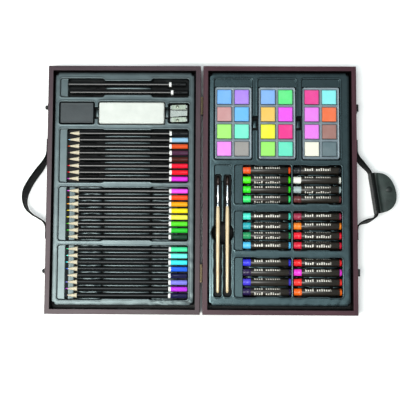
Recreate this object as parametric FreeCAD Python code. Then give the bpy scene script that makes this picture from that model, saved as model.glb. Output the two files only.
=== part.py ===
"""A folding wooden art box, open flat: two hinged halves with moulded trays full of drawing supplies.

The origin is the middle of the left half's underside. X runs to the right half, Y to the back, Z up.
All sizes are in millimetres.
"""
import FreeCAD, Part
import math
import os

V = FreeCAD.Vector
ORIGIN = V(0, 0, 0)
X_AXIS = V(1, 0, 0)
Y_AXIS = V(0, 1, 0)
Z_AXIS = V(0, 0, 1)

# Wooden case
WALL = 7.0
PANEL = 3.0
RABBET = 3.5
EDGE_ROUND = 0.8
CORNER_FINGERS = 3
RIM_DROP = 4.0
TRAY_STAND = 3.2
SIDE_GAP = 1.5
BACK_GAP = 1.0
FRONT_GAP = 4.5

# Moulded trays
SHEET = 1.0
TRAY_CORNER = 8.0
TRAY_LIP = 2.0
TRAY_BACK_LAND = 10.0
TRAY_SIDE_LAND = 8.5
TRAY_FRONT_LAND = 9.0
POCKET_CORNER = 3.0
SHELF_DROP = 2.2
WAIST_CLEAR = 0.6
WAIST_SLOPE = 4.0
WAIST_CROWN = 0.3
WAIST_ROUND = 2.5
CROWN_ROUND = 60.0
GROOVE_CLEAR = 0.3
GROOVE_SHEET = 0.7
LOOSE = 0.4
NOTCH_DROP = 10.0
NOTCH_ROUND = 2.0
NOTCH_BITE = 0.5

# Coloured pencils and graphite pencils
PENCIL_LENGTH = 174.0
PENCIL_DIA = 7.0
PENCIL_CONE = 17.0
LEAD_LENGTH = 4.5
LEAD_DIA = 2.2
LEAD_POINT = 0.7
PENCIL_CHAMFER = 0.7
PENCIL_SINK = 0.9
PENCILS_PER_ROW = 8
PENCIL_ROWS = 3
PENCIL_PITCH = 9.6
PENCIL_MARGIN = 2.2
PENCIL_SLACK = 4.8
PENCIL_SHIFT_MEAN = 0.5
PENCIL_SHIFT_SWAY = 0.35
PENCIL_SHIFT_TURN = 2.4
PENCIL_SHELF = 10.4
ROW_LAND = 6.4
GRAPHITE_COUNT = 2
GRAPHITE_PITCH = 12.0
GRAPHITE_MARGIN = 4.2
GRAPHITE_START = 0.6
GRAPHITE_SHIFT = 2.8
GRAPHITE_LAND = 7.7
CRADLE_FROM = 55.8
CRADLE_LENGTH = 66.6
CRADLE_RISE = 1.0
LOW_RIB_LENGTH = 34.0
LOW_RIB_GAP = 3.0
LOW_RIB_DROP = 1.6

# Erasers and sharpener
ERASER_LENGTH = 96.0
ERASER_WIDTH = 31.5
ERASER_HEIGHT = 11.5
ERASER_ROUND = 2.5
ERASER_PROUD = 0.8
DARK_BLOCK_LENGTH = 48.7
DARK_BLOCK_WIDTH = 30.1
DARK_BLOCK_HEIGHT = 10.5
DARK_BLOCK_ROUND = 1.0
DARK_BLOCK_PROUD = 0.5
BLOCK_LAND = 7.8
BLOCK_NOTCH = 7.4
BLOCK_NOTCH_WIDTH = 17.0
SHARPENER_NOTCH = 5.4
SHARPENER_LENGTH = 24.8
SHARPENER_WIDTH = 23.6
SHARPENER_HEIGHT = 11.0
SHARPENER_TIP_HEIGHT = 7.4
SHARPENER_ROOM = 3.0
SHARPENER_SINK = 1.5
SHARPENER_GRIP = 1.4
SHARPENER_GRIP_LENGTH = 12.0
SHARPENER_GRIP_FROM = 10.0
SHARPENER_HOLES = (8.2, 10.2)
SHARPENER_HOLE_TIP = 1.6
SHARPENER_BREAK = 0.6
BLADE_LENGTH = 21.0
BLADE_WIDTH = 6.6
BLADE_THICK = 0.6
BLADE_SCREW_ALONG = 8.8
BLADE_SCREW_ACROSS = 4.1
BLADE_SCREW_DIA = 4.4
BLADE_SCREW_HEIGHT = 1.0
BLADE_SCREW_SHANK = 2.0
BLADE_SCREW_DEPTH = 2.4

# Paint palettes
PALETTES = 3
PALETTE_WIDTH = 53.8
PALETTE_LENGTH = 106.0
PALETTE_HEIGHT = 8.0
PALETTE_CORNER = 3.0
PALETTE_PROUD = 0.4
PALETTE_SHELF = 12.0
PALETTE_LAND = 9.6
PALETTE_COLUMNS = 2
PALETTE_ROWS = 4
PALETTE_NOTCH = 20.7
PALETTE_SIDE_RIM = 2.8
PALETTE_END_RIM = 3.3
CELL_WALL = 3.0
CELL_CORNER = 1.5
CELL_DEPTH = 6.0
CAKE_GAP = 0.5
CAKE_HEIGHT = 4.2
PAINT_LAND = 8.5

# Oil pastels
PASTEL_LENGTH = 69.2
PASTEL_DIA = 11.0
PASTEL_STICK_DIA = 10.0
PASTEL_TIP = 11.0
PASTEL_TAIL = 3.2
PASTEL_CHAMFER = 0.5
PASTEL_SINK = 0.7
PASTELS_PER_GROUP = 4
PASTEL_GROUP_ROWS = 3
PASTEL_PITCH = 14.1
PASTEL_MARGIN = 1.9
PASTEL_SLACK = 1.4
PASTEL_SHELF = 11.8
PASTEL_COLUMN_LAND = 3.0
PASTEL_ROW_LAND = 10.3
PASTEL_CRADLE_FROM = 22.0
PASTEL_CRADLE_LENGTH = 28.0

# Brushes
BRUSH_COUNT = 2
BRUSH_PITCH = 13.8
BRUSH_HAIR = 14.0
BRUSH_HAIR_DIA = 4.6
BRUSH_POINT_LENGTH = 4.2
BRUSH_POINT_DIA = 2.8
BRUSH_BELLY_FROM = 9.1
BRUSH_FERRULE = 31.0
BRUSH_FERRULE_DIA = 3.4
BRUSH_HANDLE = 126.0
BRUSH_HANDLE_DIA = 5.6
BRUSH_SWELL_FROM = 19.0
BRUSH_END_DIA = 4.4
BRUSH_NECK_DIA = 4.6
BRUSH_SLACK = 6.5
BRUSH_SHELF = 13.9
BRUSH_CHANNEL = 10.4
BRUSH_SINK = 0.8
BRUSH_WELL_DIA = 32.0
BRUSH_WELL_FROM_HAIR = 83.7
BRUSH_LAND = 5.1

# Hinges
HINGE_GAP = 3.6
HINGE_SEAM = 0.2
HINGE_LENGTH = 26.0
HINGE_SPREAD = 244.0
HINGE_PIN_DIA = 1.5
HINGE_KNUCKLE_DIA = 3.0
HINGE_KNUCKLES = 5
HINGE_KNUCKLE_GAP = 0.2
HINGE_CLEAR = 0.3
HINGE_LEAF = 0.8
HINGE_LEAF_HEIGHT = 13.5
HINGE_LEAF_CORNER = 1.5
HINGE_SCREW_SPREAD = 15.0
HINGE_SCREW_DROP = 8.4
RUNNING_FIT = 0.05

# Countersunk screws of the hinges and latches
SCREW_HEAD_DIA = 3.4
SCREW_SHANK_DIA = 1.8
SCREW_LENGTH = 5.0
SCREW_HEAD_HEIGHT = 0.7

# Latches
LATCH_SPREAD = 240.0
LATCH_PLATE = 0.8
LATCH_WIDTH = 10.4
LATCH_CORNER = 1.5
STRIKE_TOP_DROP = 1.5
STRIKE_HEIGHT = 15.5
STRIKE_SCREW_RISE = 3.0
STRIKE_SCREW_SPREAD = 5.2
STUD_DROP = 7.0
STUD_NECK_DIA = 3.8
STUD_NECK = 1.9
STUD_HEAD_DIA = 6.4
STUD_HEAD = 2.8
STUD_TAIL_DIA = 2.4
HASP_PIVOT_DROP = 3.5
HASP_PIVOT_OFF = 2.0
HASP_KNUCKLE_DIA = 3.2
HASP_PIN_DIA = 1.6
HASP_KNUCKLE_LENGTH = 4.8
HASP_KNUCKLE_GAP = 0.2
HASP_SHOULDER = 2.3
HASP_PLATE_HEIGHT = 13.0
HASP_SLOT_FROM = 7.2
HASP_SLOT_TO = 15.2
HASP_SLOT_WIDTH = 6.8
HASP_SLOT_CORNER = 2.0
HASP_LENGTH = 18.4
HASP_LIP_OUT = 2.4
HASP_LIP_UP = 0.9
HASP_LIP_ROUND = 1.3
HASP_REST_TILT = 10.0

# Carrying straps
STRAP_WIDTH = 16.0
STRAP_THICK = 2.2
STRAP_END = 73.0
STRAP_BEND = 47.0
STRAP_FOOT = -52.0
STRAP_SCREW_AT = 64.0
STRAP_SCREW_DIA = 7.0
STRAP_SCREW_DOME = 1.8
STRAP_SCREW_SHANK = 2.4
STRAP_SCREW_DEPTH = 5.0
STRAP_SWING_CUT = 11.5
STRAP_SWING_GAP = 0.3
LEFT_LOOP = ((34.0, 7.0), (39.0, -13.0), (33.0, -33.5))
LEFT_LOOP_RADII = (30.0, 22.0, 14.0)
RIGHT_LOOP = ((22.5, 27.5), (31.8, -36.5))
RIGHT_LOOP_RADII = (12.0, 6.0)
STRAP_BEND_RADIUS = 14.0
STRAP_FOOT_RADIUS = 7.0

# Handle wrap on the right strap
WRAP_SHEET = 1.2
WRAP_CLEAR = 0.4
WRAP_HALF_LENGTH = 29.0
WRAP_OUT = 33.0
WRAP_SHOULDER = 2.6
WRAP_PINCH = 12.0
WRAP_LEAF_GAP = 1.5
WRAP_FOLD_ROUND = 1.6
WRAP_PINCH_ROUND = 5.0
WRAP_CORNER_ROUND = 17.0
WRAP_STRAIGHT = 13.0
SNAP_OUT = 22.5
SNAP_ALONG = 2.4
SNAP_CAP_DIA = 10.6
SNAP_CAP_SHOULDER_DIA = 9.1
SNAP_CAP_TOP_DIA = 4.2
SNAP_CAP_DOME = 1.6
SNAP_SHANK_DIA = 3.0
SNAP_STUD_DIA = 6.0
SNAP_STUD_HEIGHT = 0.5

# Levels and extents worked out from the pieces
pencil_depth = PENCIL_SINK + PENCIL_DIA + GROOVE_CLEAR + GROOVE_SHEET
pastel_depth = PASTEL_SINK + PASTEL_DIA + GROOVE_CLEAR + GROOVE_SHEET
brush_depth = BRUSH_SINK + BRUSH_HANDLE_DIA + GROOVE_CLEAR
eraser_depth = ERASER_HEIGHT - ERASER_PROUD
dark_block_depth = DARK_BLOCK_HEIGHT - DARK_BLOCK_PROUD
sharpener_depth = SHARPENER_HEIGHT + SHARPENER_SINK
palette_depth = PALETTE_HEIGHT - PALETTE_PROUD
deepest = max(pencil_depth, pastel_depth, brush_depth, eraser_depth, dark_block_depth,
              sharpener_depth, palette_depth, NOTCH_DROP)
HALF_DEPTH = PANEL + TRAY_STAND + SHEET + deepest + RIM_DROP
TRAY_TOP = HALF_DEPTH - RIM_DROP
SHELF_Z = TRAY_TOP - SHELF_DROP

row_width = (PENCILS_PER_ROW - 1) * PENCIL_PITCH + PENCIL_DIA + 2 * PENCIL_MARGIN
graphite_width = (GRAPHITE_COUNT - 1) * GRAPHITE_PITCH + PENCIL_DIA + 2 * GRAPHITE_MARGIN
block_width = max(ERASER_WIDTH, DARK_BLOCK_WIDTH, SHARPENER_WIDTH) + 2 * LOOSE
row_length = PENCIL_SHELF + PENCIL_LENGTH + PENCIL_SLACK
dark_pocket = DARK_BLOCK_LENGTH + 2 * LOOSE
eraser_pocket = ERASER_LENGTH + 2 * LOOSE
sharpener_pocket = SHARPENER_LENGTH + 2 * SHARPENER_ROOM
block_band = dark_pocket + BLOCK_NOTCH + eraser_pocket + SHARPENER_NOTCH + sharpener_pocket
cell_width = (PALETTE_WIDTH - 2 * PALETTE_SIDE_RIM - (PALETTE_COLUMNS - 1) * CELL_WALL) / PALETTE_COLUMNS
cell_length = (PALETTE_LENGTH - 2 * PALETTE_END_RIM - (PALETTE_ROWS - 1) * CELL_WALL) / PALETTE_ROWS
palette_pocket = PALETTE_WIDTH + 2 * LOOSE
palette_pocket_length = PALETTE_SHELF + PALETTE_LENGTH + 2 * LOOSE
palette_band = PALETTES * palette_pocket + (PALETTES - 1) * PALETTE_LAND
pastel_pocket = PASTEL_LENGTH + PASTEL_SLACK
pastel_width = (PASTELS_PER_GROUP - 1) * PASTEL_PITCH + PASTEL_DIA + 2 * PASTEL_MARGIN
pastel_rows_length = PASTEL_GROUP_ROWS * pastel_width + (PASTEL_GROUP_ROWS - 1) * PASTEL_ROW_LAND
brush_pocket = (BRUSH_COUNT - 1) * BRUSH_PITCH + BRUSH_CHANNEL
brush_length = BRUSH_HAIR + BRUSH_FERRULE + BRUSH_HANDLE
pastel_from = brush_pocket + BRUSH_LAND
supply_band = pastel_from + PASTEL_SHELF + 2 * pastel_pocket + PASTEL_COLUMN_LAND

left_length = (TRAY_BACK_LAND + graphite_width + GRAPHITE_LAND + block_width + BLOCK_LAND
               + PENCIL_ROWS * row_width + (PENCIL_ROWS - 1) * ROW_LAND + TRAY_FRONT_LAND)
right_length = (TRAY_BACK_LAND + palette_pocket_length + PAINT_LAND
                + max(pastel_rows_length, BRUSH_SHELF + brush_length + BRUSH_SLACK) + TRAY_FRONT_LAND)
TRAY_LENGTH = max(left_length, right_length)
TRAY_WIDTH = max(row_length, block_band, palette_band, supply_band) + 2 * TRAY_SIDE_LAND
CASE_LENGTH = TRAY_LENGTH + BACK_GAP + FRONT_GAP + 2 * WALL
HALF_WIDTH = TRAY_WIDTH + 2 * (SIDE_GAP + WALL)
RIGHT_X = HALF_WIDTH + HINGE_GAP
HINGE_X = RIGHT_X / 2
HINGE_Z = HALF_DEPTH + HINGE_SEAM
LEFT_WALL = -HALF_WIDTH / 2
RIGHT_WALL = RIGHT_X + HALF_WIDTH / 2
STRAP_Z = HALF_DEPTH / 2
left_contents_x = -TRAY_WIDTH / 2 + TRAY_SIDE_LAND
right_contents_x = RIGHT_X - TRAY_WIDTH / 2 + TRAY_SIDE_LAND
tray_back = CASE_LENGTH / 2 - WALL - BACK_GAP


def rounded(points, radii):
    """A closed wire through the corner points, with a tangent arc of the given radius at each."""
    corners = [V(x, y, 0) for x, y in points]
    bends = []
    for i, corner in enumerate(corners):
        if radii[i] == 0:
            bends.append((corner,))
            continue
        back = (corners[i - 1] - corner).normalize()
        ahead = (corners[(i + 1) % len(corners)] - corner).normalize()
        half = back.getAngle(ahead) / 2
        reach = radii[i] / math.tan(half)
        inside = (back + ahead).normalize() * (radii[i] / math.sin(half) - radii[i])
        bends.append((corner + back * reach, corner + inside, corner + ahead * reach))
    edges = []
    for i, bend in enumerate(bends):
        if len(bend) == 3:
            edges.append(Part.Arc(*bend).toShape())
        start = bend[-1]
        end = bends[(i + 1) % len(bends)][0]
        if (end - start).Length > 1e-6:
            edges.append(Part.LineSegment(start, end).toShape())
    return Part.Wire(edges)


def rectangle(x0, x1, y0, y1, corner):
    points = ((x0, y0), (x1, y0), (x1, y1), (x0, y1))
    return rounded(points, (corner,) * 4)


def circle(x, y, radius):
    return Part.Wire(Part.makeCircle(radius, V(x, y, 0)))


def prism(wire, low, high):
    """The wire's face, drawn on the ground plane, as a solid from one height to another."""
    face = Part.Face(wire)
    face.translate(V(0, 0, low))
    return face.extrude(V(0, 0, high - low))


def block(x0, x1, y0, y1, z0, z1):
    return Part.makeBox(x1 - x0, y1 - y0, z1 - z0, V(x0, y0, z0))


def cylinder(radius, length, start, direction):
    return Part.makeCylinder(radius, length, start, direction)


def turned(profile, axis_start, direction):
    """A solid of revolution from (along, radius) points that start and end on the axis."""
    points = [V(a, r, 0) for a, r in profile]
    wire = Part.makePolygon(points + [points[0]])
    solid = Part.Face(wire).revolve(ORIGIN, X_AXIS, 360)
    solid.Placement = FreeCAD.Placement(axis_start, FreeCAD.Rotation(X_AXIS, direction))
    return solid


def strip(points, radii, thick):
    """A closed wire round a bent sheet of even thickness, whose middle line runs through the points."""
    middle = [V(x, y, 0) for x, y in points]
    sides = ([], [])
    for i, point in enumerate(middle):
        before = (point - middle[i - 1]).normalize() if i else None
        after = (middle[i + 1] - point).normalize() if i < len(middle) - 1 else before
        before = before or after
        left_before = V(-before.y, before.x, 0)
        left_after = V(-after.y, after.x, 0)
        mitre = (left_before + left_after) / (1 + left_before.dot(left_after))
        turn = math.copysign(1, before.x * after.y - before.y * after.x)
        for side, way in zip(sides, (1, -1)):
            place = point + mitre * (way * thick / 2)
            bend = radii[i] - way * turn * thick / 2 if radii[i] else 0
            side.append((place.x, place.y, bend))
    outline = sides[0] + sides[1][::-1]
    return rounded([(x, y) for x, y, _ in outline], [bend for _, _, bend in outline])


def upright(shape):
    """A drawing on the ground plane, stood up on a wall: x along Y, y along Z and height along X."""
    return shape.rotated(ORIGIN, V(1, 1, 1), 120)


def sideways(shape):
    """A side view drawn on the ground plane, stood up so that its y is Z and its height runs along -Y."""
    return shape.rotated(ORIGIN, X_AXIS, 90)


def wall_plate(wall_x, outward, y0, y1, z0, z1, thick, corner):
    plate = upright(prism(rectangle(y0, y1, z0, z1, corner), 0, outward * thick))
    return plate.translated(V(wall_x, 0, 0))


def export(node, *shapes):
    solids = [solid for shape in shapes for solid in shape.Solids]
    assert solids and all(solid.isValid() for solid in solids), node
    shape = solids[0] if len(solids) == 1 else Part.Compound(solids)
    shape.exportStep(f"parts/{node}.step")


def sink_screw(surface, inward):
    """A countersunk screw whose flat head lies flush in the surface."""
    head = SCREW_HEAD_DIA / 2
    shank = SCREW_SHANK_DIA / 2
    point = SCREW_LENGTH - SCREW_SHANK_DIA
    profile = ((0, 0), (0, head), (SCREW_HEAD_HEIGHT, shank), (point, shank), (SCREW_LENGTH, 0))
    return turned(profile, surface, inward)


def case_boards(half_x, hinge_side):
    """Two full-length stiles and two rails with finger-jointed corners, rabbeted for the base panel."""
    x0 = half_x - HALF_WIDTH / 2
    x1 = half_x + HALF_WIDTH / 2
    y0 = -CASE_LENGTH / 2
    y1 = CASE_LENGTH / 2
    outer = block(x0, x1, y0, y1, 0, HALF_DEPTH)
    outer = outer.makeFillet(EDGE_ROUND, outer.Edges)
    inner = block(x0 + WALL, x1 - WALL, y0 + WALL, y1 - WALL, 0, HALF_DEPTH)
    lip = WALL - RABBET
    panel = block(x0 + lip, x1 - lip, y0 + lip, y1 - lip, 0, PANEL)
    frame = outer.cut([inner, panel])
    finger = HALF_DEPTH / CORNER_FINGERS
    rail_fingers = []
    for x in (x0, x1 - WALL):
        for y in (y0, y1 - WALL):
            for i in range(1, CORNER_FINGERS, 2):
                rail_fingers.append(block(x, x + WALL, y, y + WALL, i * finger, (i + 1) * finger))
    stiles = []
    for x in (x0, x1 - WALL):
        stile_space = block(x, x + WALL, y0, y1, 0, HALF_DEPTH).cut(rail_fingers)
        stiles.append(frame.common(stile_space))
    rails = []
    for y in (y0, y1 - WALL):
        rail_space = block(x0 + WALL, x1 - WALL, y, y + WALL, 0, HALF_DEPTH).fuse(rail_fingers)
        reach = block(x0, x1, y, y + WALL, 0, HALF_DEPTH)
        rails.append(frame.common(rail_space.common(reach)))
    outer_stile, hinge_stile = stiles if hinge_side > 0 else stiles[::-1]
    front_rail, back_rail = rails
    return outer_stile, hinge_stile, front_rail, back_rail, panel


def waisted(x0, x1, y0, y1, waist_from, waist_to, waist):
    """A pocket outline whose long sides step in over the middle, with a slight crown."""
    crown_x = (waist_from + waist_to) / 2
    low = ((waist_from - WAIST_SLOPE, y0), (waist_from, y0 + waist),
           (crown_x, y0 + waist + WAIST_CROWN), (waist_to, y0 + waist),
           (waist_to + WAIST_SLOPE, y0))
    high = [(x, y0 + y1 - y) for x, y in low[::-1]]
    side_radii = (WAIST_ROUND, WAIST_ROUND, CROWN_ROUND, WAIST_ROUND, WAIST_ROUND)
    corner = (POCKET_CORNER,)
    points = [(x0, y0), *low, (x1, y0), (x1, y1), *high, (x0, y1)]
    radii = [*corner, *side_radii, *corner, *corner, *side_radii, *corner]
    return rounded(points, radii)


def cradle(pocket, floor, top, x0, x1, axes_y, axis_z, radius):
    """A rib across a pocket, grooved for the round pieces that lie over it."""
    rib = prism(pocket.makeOffset2D(SHEET / 2), floor - SHEET / 2, top)
    box = pocket.BoundBox
    rib = rib.common(block(x0, x1, box.YMin - SHEET, box.YMax + SHEET, floor - SHEET, top))
    grooves = [cylinder(radius, x1 - x0, V(x0, y, axis_z), X_AXIS) for y in axes_y]
    return rib.cut(grooves)


def moulded_tray(half_x, hollows, cradles):
    """A thin sheet formed into a deck with a skirt, and into a wall and a floor for every hollow."""
    x0 = half_x - TRAY_WIDTH / 2
    x1 = half_x + TRAY_WIDTH / 2
    y0 = tray_back - TRAY_LENGTH
    outer = prism(rectangle(x0, x1, y0, tray_back, TRAY_CORNER), PANEL, TRAY_TOP)
    outer = outer.makeFillet(TRAY_LIP, [e for e in outer.Edges if e.BoundBox.ZMin > TRAY_TOP - SHEET / 2])
    hollow_wire = rectangle(x0 + SHEET, x1 - SHEET, y0 + SHEET, tray_back - SHEET, TRAY_CORNER - SHEET)
    inner = prism(hollow_wire, PANEL, TRAY_TOP - SHEET)
    inner = inner.makeFillet(TRAY_LIP - SHEET,
                             [e for e in inner.Edges if e.BoundBox.ZMin > TRAY_TOP - 1.5 * SHEET])
    skins = [prism(wire.makeOffset2D(SHEET), floor - SHEET, TRAY_TOP) for wire, floor in hollows]
    voids = [prism(wire, floor, TRAY_TOP + SHEET) for wire, floor in hollows]
    sheet = outer.cut(inner).fuse(skins).cut(voids)
    return sheet.fuse(cradles).removeSplitter()


def rounds_pocket(x0, x1, centre_y, width, shelf, depth, count, pitch, dia, sink, waist_at, margin):
    """Hollows and cradle for a row of round pieces: a shallow shelf at the left, then a waisted pocket."""
    y0 = centre_y - width / 2
    y1 = centre_y + width / 2
    deep_x = x0 + shelf
    waist_from = deep_x + waist_at[0]
    waist_to = waist_from + waist_at[1]
    floor = TRAY_TOP - depth
    pocket = waisted(deep_x, x1, y0, y1, waist_from, waist_to, margin - WAIST_CLEAR)
    hollows = [(pocket, floor)]
    if shelf:
        hollows.append((rectangle(x0, waist_from - 2 * WAIST_SLOPE, y0, y1, POCKET_CORNER), SHELF_Z))
    axis_z = TRAY_TOP - sink - dia / 2
    axes = [centre_y + ((count - 1) / 2 - i) * pitch for i in range(count)]
    rib = cradle(pocket, floor, axis_z + CRADLE_RISE, waist_from, waist_to, axes, axis_z,
                 dia / 2 + GROOVE_CLEAR)
    return hollows, rib, axes, axis_z, pocket, floor, waist_from, waist_to


def pencil_pocket(centre_y, width, count, pitch, margin):
    """A pencil row's pocket, with lower ribs before and after the cradle."""
    x0 = left_contents_x
    found = rounds_pocket(x0, x0 + row_length, centre_y, width, PENCIL_SHELF, pencil_depth, count, pitch,
                          PENCIL_DIA, PENCIL_SINK, (CRADLE_FROM, CRADLE_LENGTH), margin)
    hollows, rib, axes, axis_z, pocket, floor, waist_from, waist_to = found
    ribs = [rib]
    for start in (waist_from - LOW_RIB_GAP - LOW_RIB_LENGTH, waist_to + LOW_RIB_GAP):
        ribs.append(cradle(pocket, floor, axis_z - LOW_RIB_DROP, start, start + LOW_RIB_LENGTH, axes,
                           axis_z, PENCIL_DIA / 2 + GROOVE_CLEAR))
    return hollows, ribs, axes, axis_z


def pencil(start, direction):
    """A round pencil, sharpened: lead, wooden cone, barrel."""
    radius = PENCIL_DIA / 2
    profile = ((0, 0), (0, LEAD_POINT / 2), (LEAD_LENGTH, LEAD_DIA / 2), (PENCIL_CONE, radius),
               (PENCIL_LENGTH - PENCIL_CHAMFER, radius), (PENCIL_LENGTH, radius - PENCIL_CHAMFER),
               (PENCIL_LENGTH, 0))
    return turned(profile, start, direction)


def flat_ended_pencil(start, direction):
    """A round pencil that has not been sharpened yet."""
    radius = PENCIL_DIA / 2
    profile = ((0, 0), (0, radius - PENCIL_CHAMFER), (PENCIL_CHAMFER, radius),
               (PENCIL_LENGTH - PENCIL_CHAMFER, radius), (PENCIL_LENGTH, radius - PENCIL_CHAMFER),
               (PENCIL_LENGTH, 0))
    return turned(profile, start, direction)


def row_shift(i):
    """Pencils of a row lie a little unevenly along their pocket, within its slack."""
    return PENCIL_SLACK * (PENCIL_SHIFT_MEAN + PENCIL_SHIFT_SWAY * math.sin(PENCIL_SHIFT_TURN * i))


def pastel(start):
    """An oil pastel: the stick shows at both ends of its paper sleeve."""
    stick = PASTEL_STICK_DIA / 2
    sleeve = PASTEL_DIA / 2
    sleeve_end = PASTEL_LENGTH - PASTEL_TAIL
    profile = ((0, 0), (0, stick - PASTEL_CHAMFER), (PASTEL_CHAMFER, stick), (PASTEL_TIP, stick),
               (PASTEL_TIP, sleeve), (sleeve_end, sleeve), (sleeve_end, stick),
               (PASTEL_LENGTH - PASTEL_CHAMFER, stick), (PASTEL_LENGTH, stick - PASTEL_CHAMFER),
               (PASTEL_LENGTH, 0))
    return turned(profile, start, X_AXIS)


def soft_block(x0, x1, y0, y1, z0, z1, corner):
    body = prism(rectangle(x0, x1, y0, y1, 2 * corner), z0, z1)
    return body.makeFillet(corner / 2, [e for e in body.Edges if e.BoundBox.ZLength < corner / 2])


def cell_centres(x, y):
    """The middles of a palette's cells, row by row from the back."""
    for row in range(PALETTE_ROWS):
        for column in range(PALETTE_COLUMNS):
            yield (x + (column - (PALETTE_COLUMNS - 1) / 2) * (cell_width + CELL_WALL),
                   y + ((PALETTE_ROWS - 1) / 2 - row) * (cell_length + CELL_WALL))


def palette_with_cakes(x, y, top):
    width = PALETTE_WIDTH / 2
    length = PALETTE_LENGTH / 2
    body = prism(rectangle(x - width, x + width, y - length, y + length, PALETTE_CORNER),
                 top - PALETTE_HEIGHT, top)
    floor = top - CELL_DEPTH
    cells = []
    cakes = []
    for cx, cy in cell_centres(x, y):
        x0 = cx - cell_width / 2
        x1 = cx + cell_width / 2
        y0 = cy - cell_length / 2
        y1 = cy + cell_length / 2
        cells.append(prism(rectangle(x0, x1, y0, y1, CELL_CORNER), floor, top))
        cake = rectangle(x0 + CAKE_GAP, x1 - CAKE_GAP, y0 + CAKE_GAP, y1 - CAKE_GAP, CELL_CORNER)
        cakes.append(prism(cake, floor, floor + CAKE_HEIGHT))
    return body.cut(cells), cakes


def sharpener(x0, y, floor):
    """A two-hole wedge sharpener: body, a blade over the slot of each hole, and the blades' screws."""
    x1 = x0 + SHARPENER_LENGTH
    half = SHARPENER_WIDTH / 2
    slope = math.atan2(SHARPENER_HEIGHT - SHARPENER_TIP_HEIGHT, SHARPENER_LENGTH)
    side = ((x0, floor), (x1, floor), (x1, floor + SHARPENER_HEIGHT), (x0, floor + SHARPENER_TIP_HEIGHT))
    body = sideways(prism(rounded(side, (0,) * 4), -y - half, -y + half))
    grip_x = x0 + SHARPENER_GRIP_FROM
    grip_radius = (SHARPENER_GRIP_LENGTH ** 2 / 4 + SHARPENER_GRIP ** 2) / (2 * SHARPENER_GRIP)
    cuts = []
    for way in (-1, 1):
        centre = V(grip_x, y + way * (half + grip_radius - SHARPENER_GRIP), floor)
        cuts.append(cylinder(grip_radius, SHARPENER_HEIGHT, centre, Z_AXIS))
    blades = []
    screws = []
    up = V(-math.sin(slope), 0, math.cos(slope))
    along = V(math.cos(slope), 0, math.sin(slope))
    for way, dia in zip((1, -1), SHARPENER_HOLES):
        hole_y = y + way * half / 2
        mouth_z = floor + SHARPENER_HEIGHT + SHARPENER_BREAK - dia / 2
        tip_z = floor + SHARPENER_TIP_HEIGHT + SHARPENER_BREAK - SHARPENER_HOLE_TIP / 2
        run = V(SHARPENER_LENGTH, 0, mouth_z - tip_z)
        bore = Part.makeCone(SHARPENER_HOLE_TIP / 2, dia / 2, run.Length, V(x0, hole_y, tip_z), run)
        cuts.append(bore)
        seat = V(x0, hole_y, floor + SHARPENER_TIP_HEIGHT) + along * ((SHARPENER_LENGTH - BLADE_LENGTH) / 2)
        plate = block(0, BLADE_LENGTH, 0, BLADE_WIDTH, 0, BLADE_THICK)
        plate.rotate(ORIGIN, Y_AXIS, -math.degrees(slope))
        plate.translate(seat + V(0, 0 if way > 0 else -BLADE_WIDTH, 0))
        grip = seat + along * BLADE_SCREW_ALONG + V(0, way * BLADE_SCREW_ACROSS, 0)
        profile = ((-BLADE_SCREW_DEPTH, 0), (-BLADE_SCREW_DEPTH, BLADE_SCREW_SHANK / 2),
                   (BLADE_THICK, BLADE_SCREW_SHANK / 2), (BLADE_THICK, BLADE_SCREW_DIA / 2),
                   (BLADE_THICK + BLADE_SCREW_HEIGHT, BLADE_SCREW_DIA / 2 - BLADE_SCREW_HEIGHT / 2),
                   (BLADE_THICK + BLADE_SCREW_HEIGHT, 0))
        screw = turned(profile, grip, up)
        blades.append(plate.cut(screw))
        screws.append(screw)
    return body.cut(cuts).cut(screws), blades, screws


def brush(x, tip_y, axis_z):
    """A round brush pointing to the back: handle, ferrule and hair."""
    tip = V(x, tip_y, axis_z)
    ferrule_at = BRUSH_HAIR
    handle_at = BRUSH_HAIR + BRUSH_FERRULE
    forward = V(0, -1, 0)
    end_at = handle_at + BRUSH_HANDLE
    hair = turned(((0, 0), (BRUSH_POINT_LENGTH, BRUSH_POINT_DIA / 2),
                   (BRUSH_BELLY_FROM, BRUSH_HAIR_DIA / 2), (ferrule_at, BRUSH_FERRULE_DIA / 2),
                   (ferrule_at, 0)), tip, forward)
    ferrule = turned(((ferrule_at, 0), (ferrule_at, BRUSH_FERRULE_DIA / 2), (handle_at, BRUSH_NECK_DIA / 2),
                      (handle_at, 0)), tip, forward)
    handle = turned(((handle_at, 0), (handle_at, BRUSH_NECK_DIA / 2),
                     (handle_at + BRUSH_SWELL_FROM, BRUSH_HANDLE_DIA / 2),
                     (end_at - BRUSH_END_DIA / 2, BRUSH_END_DIA / 2), (end_at, BRUSH_END_DIA / 4),
                     (end_at, 0)), tip, forward)
    return handle, ferrule, hair


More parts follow.
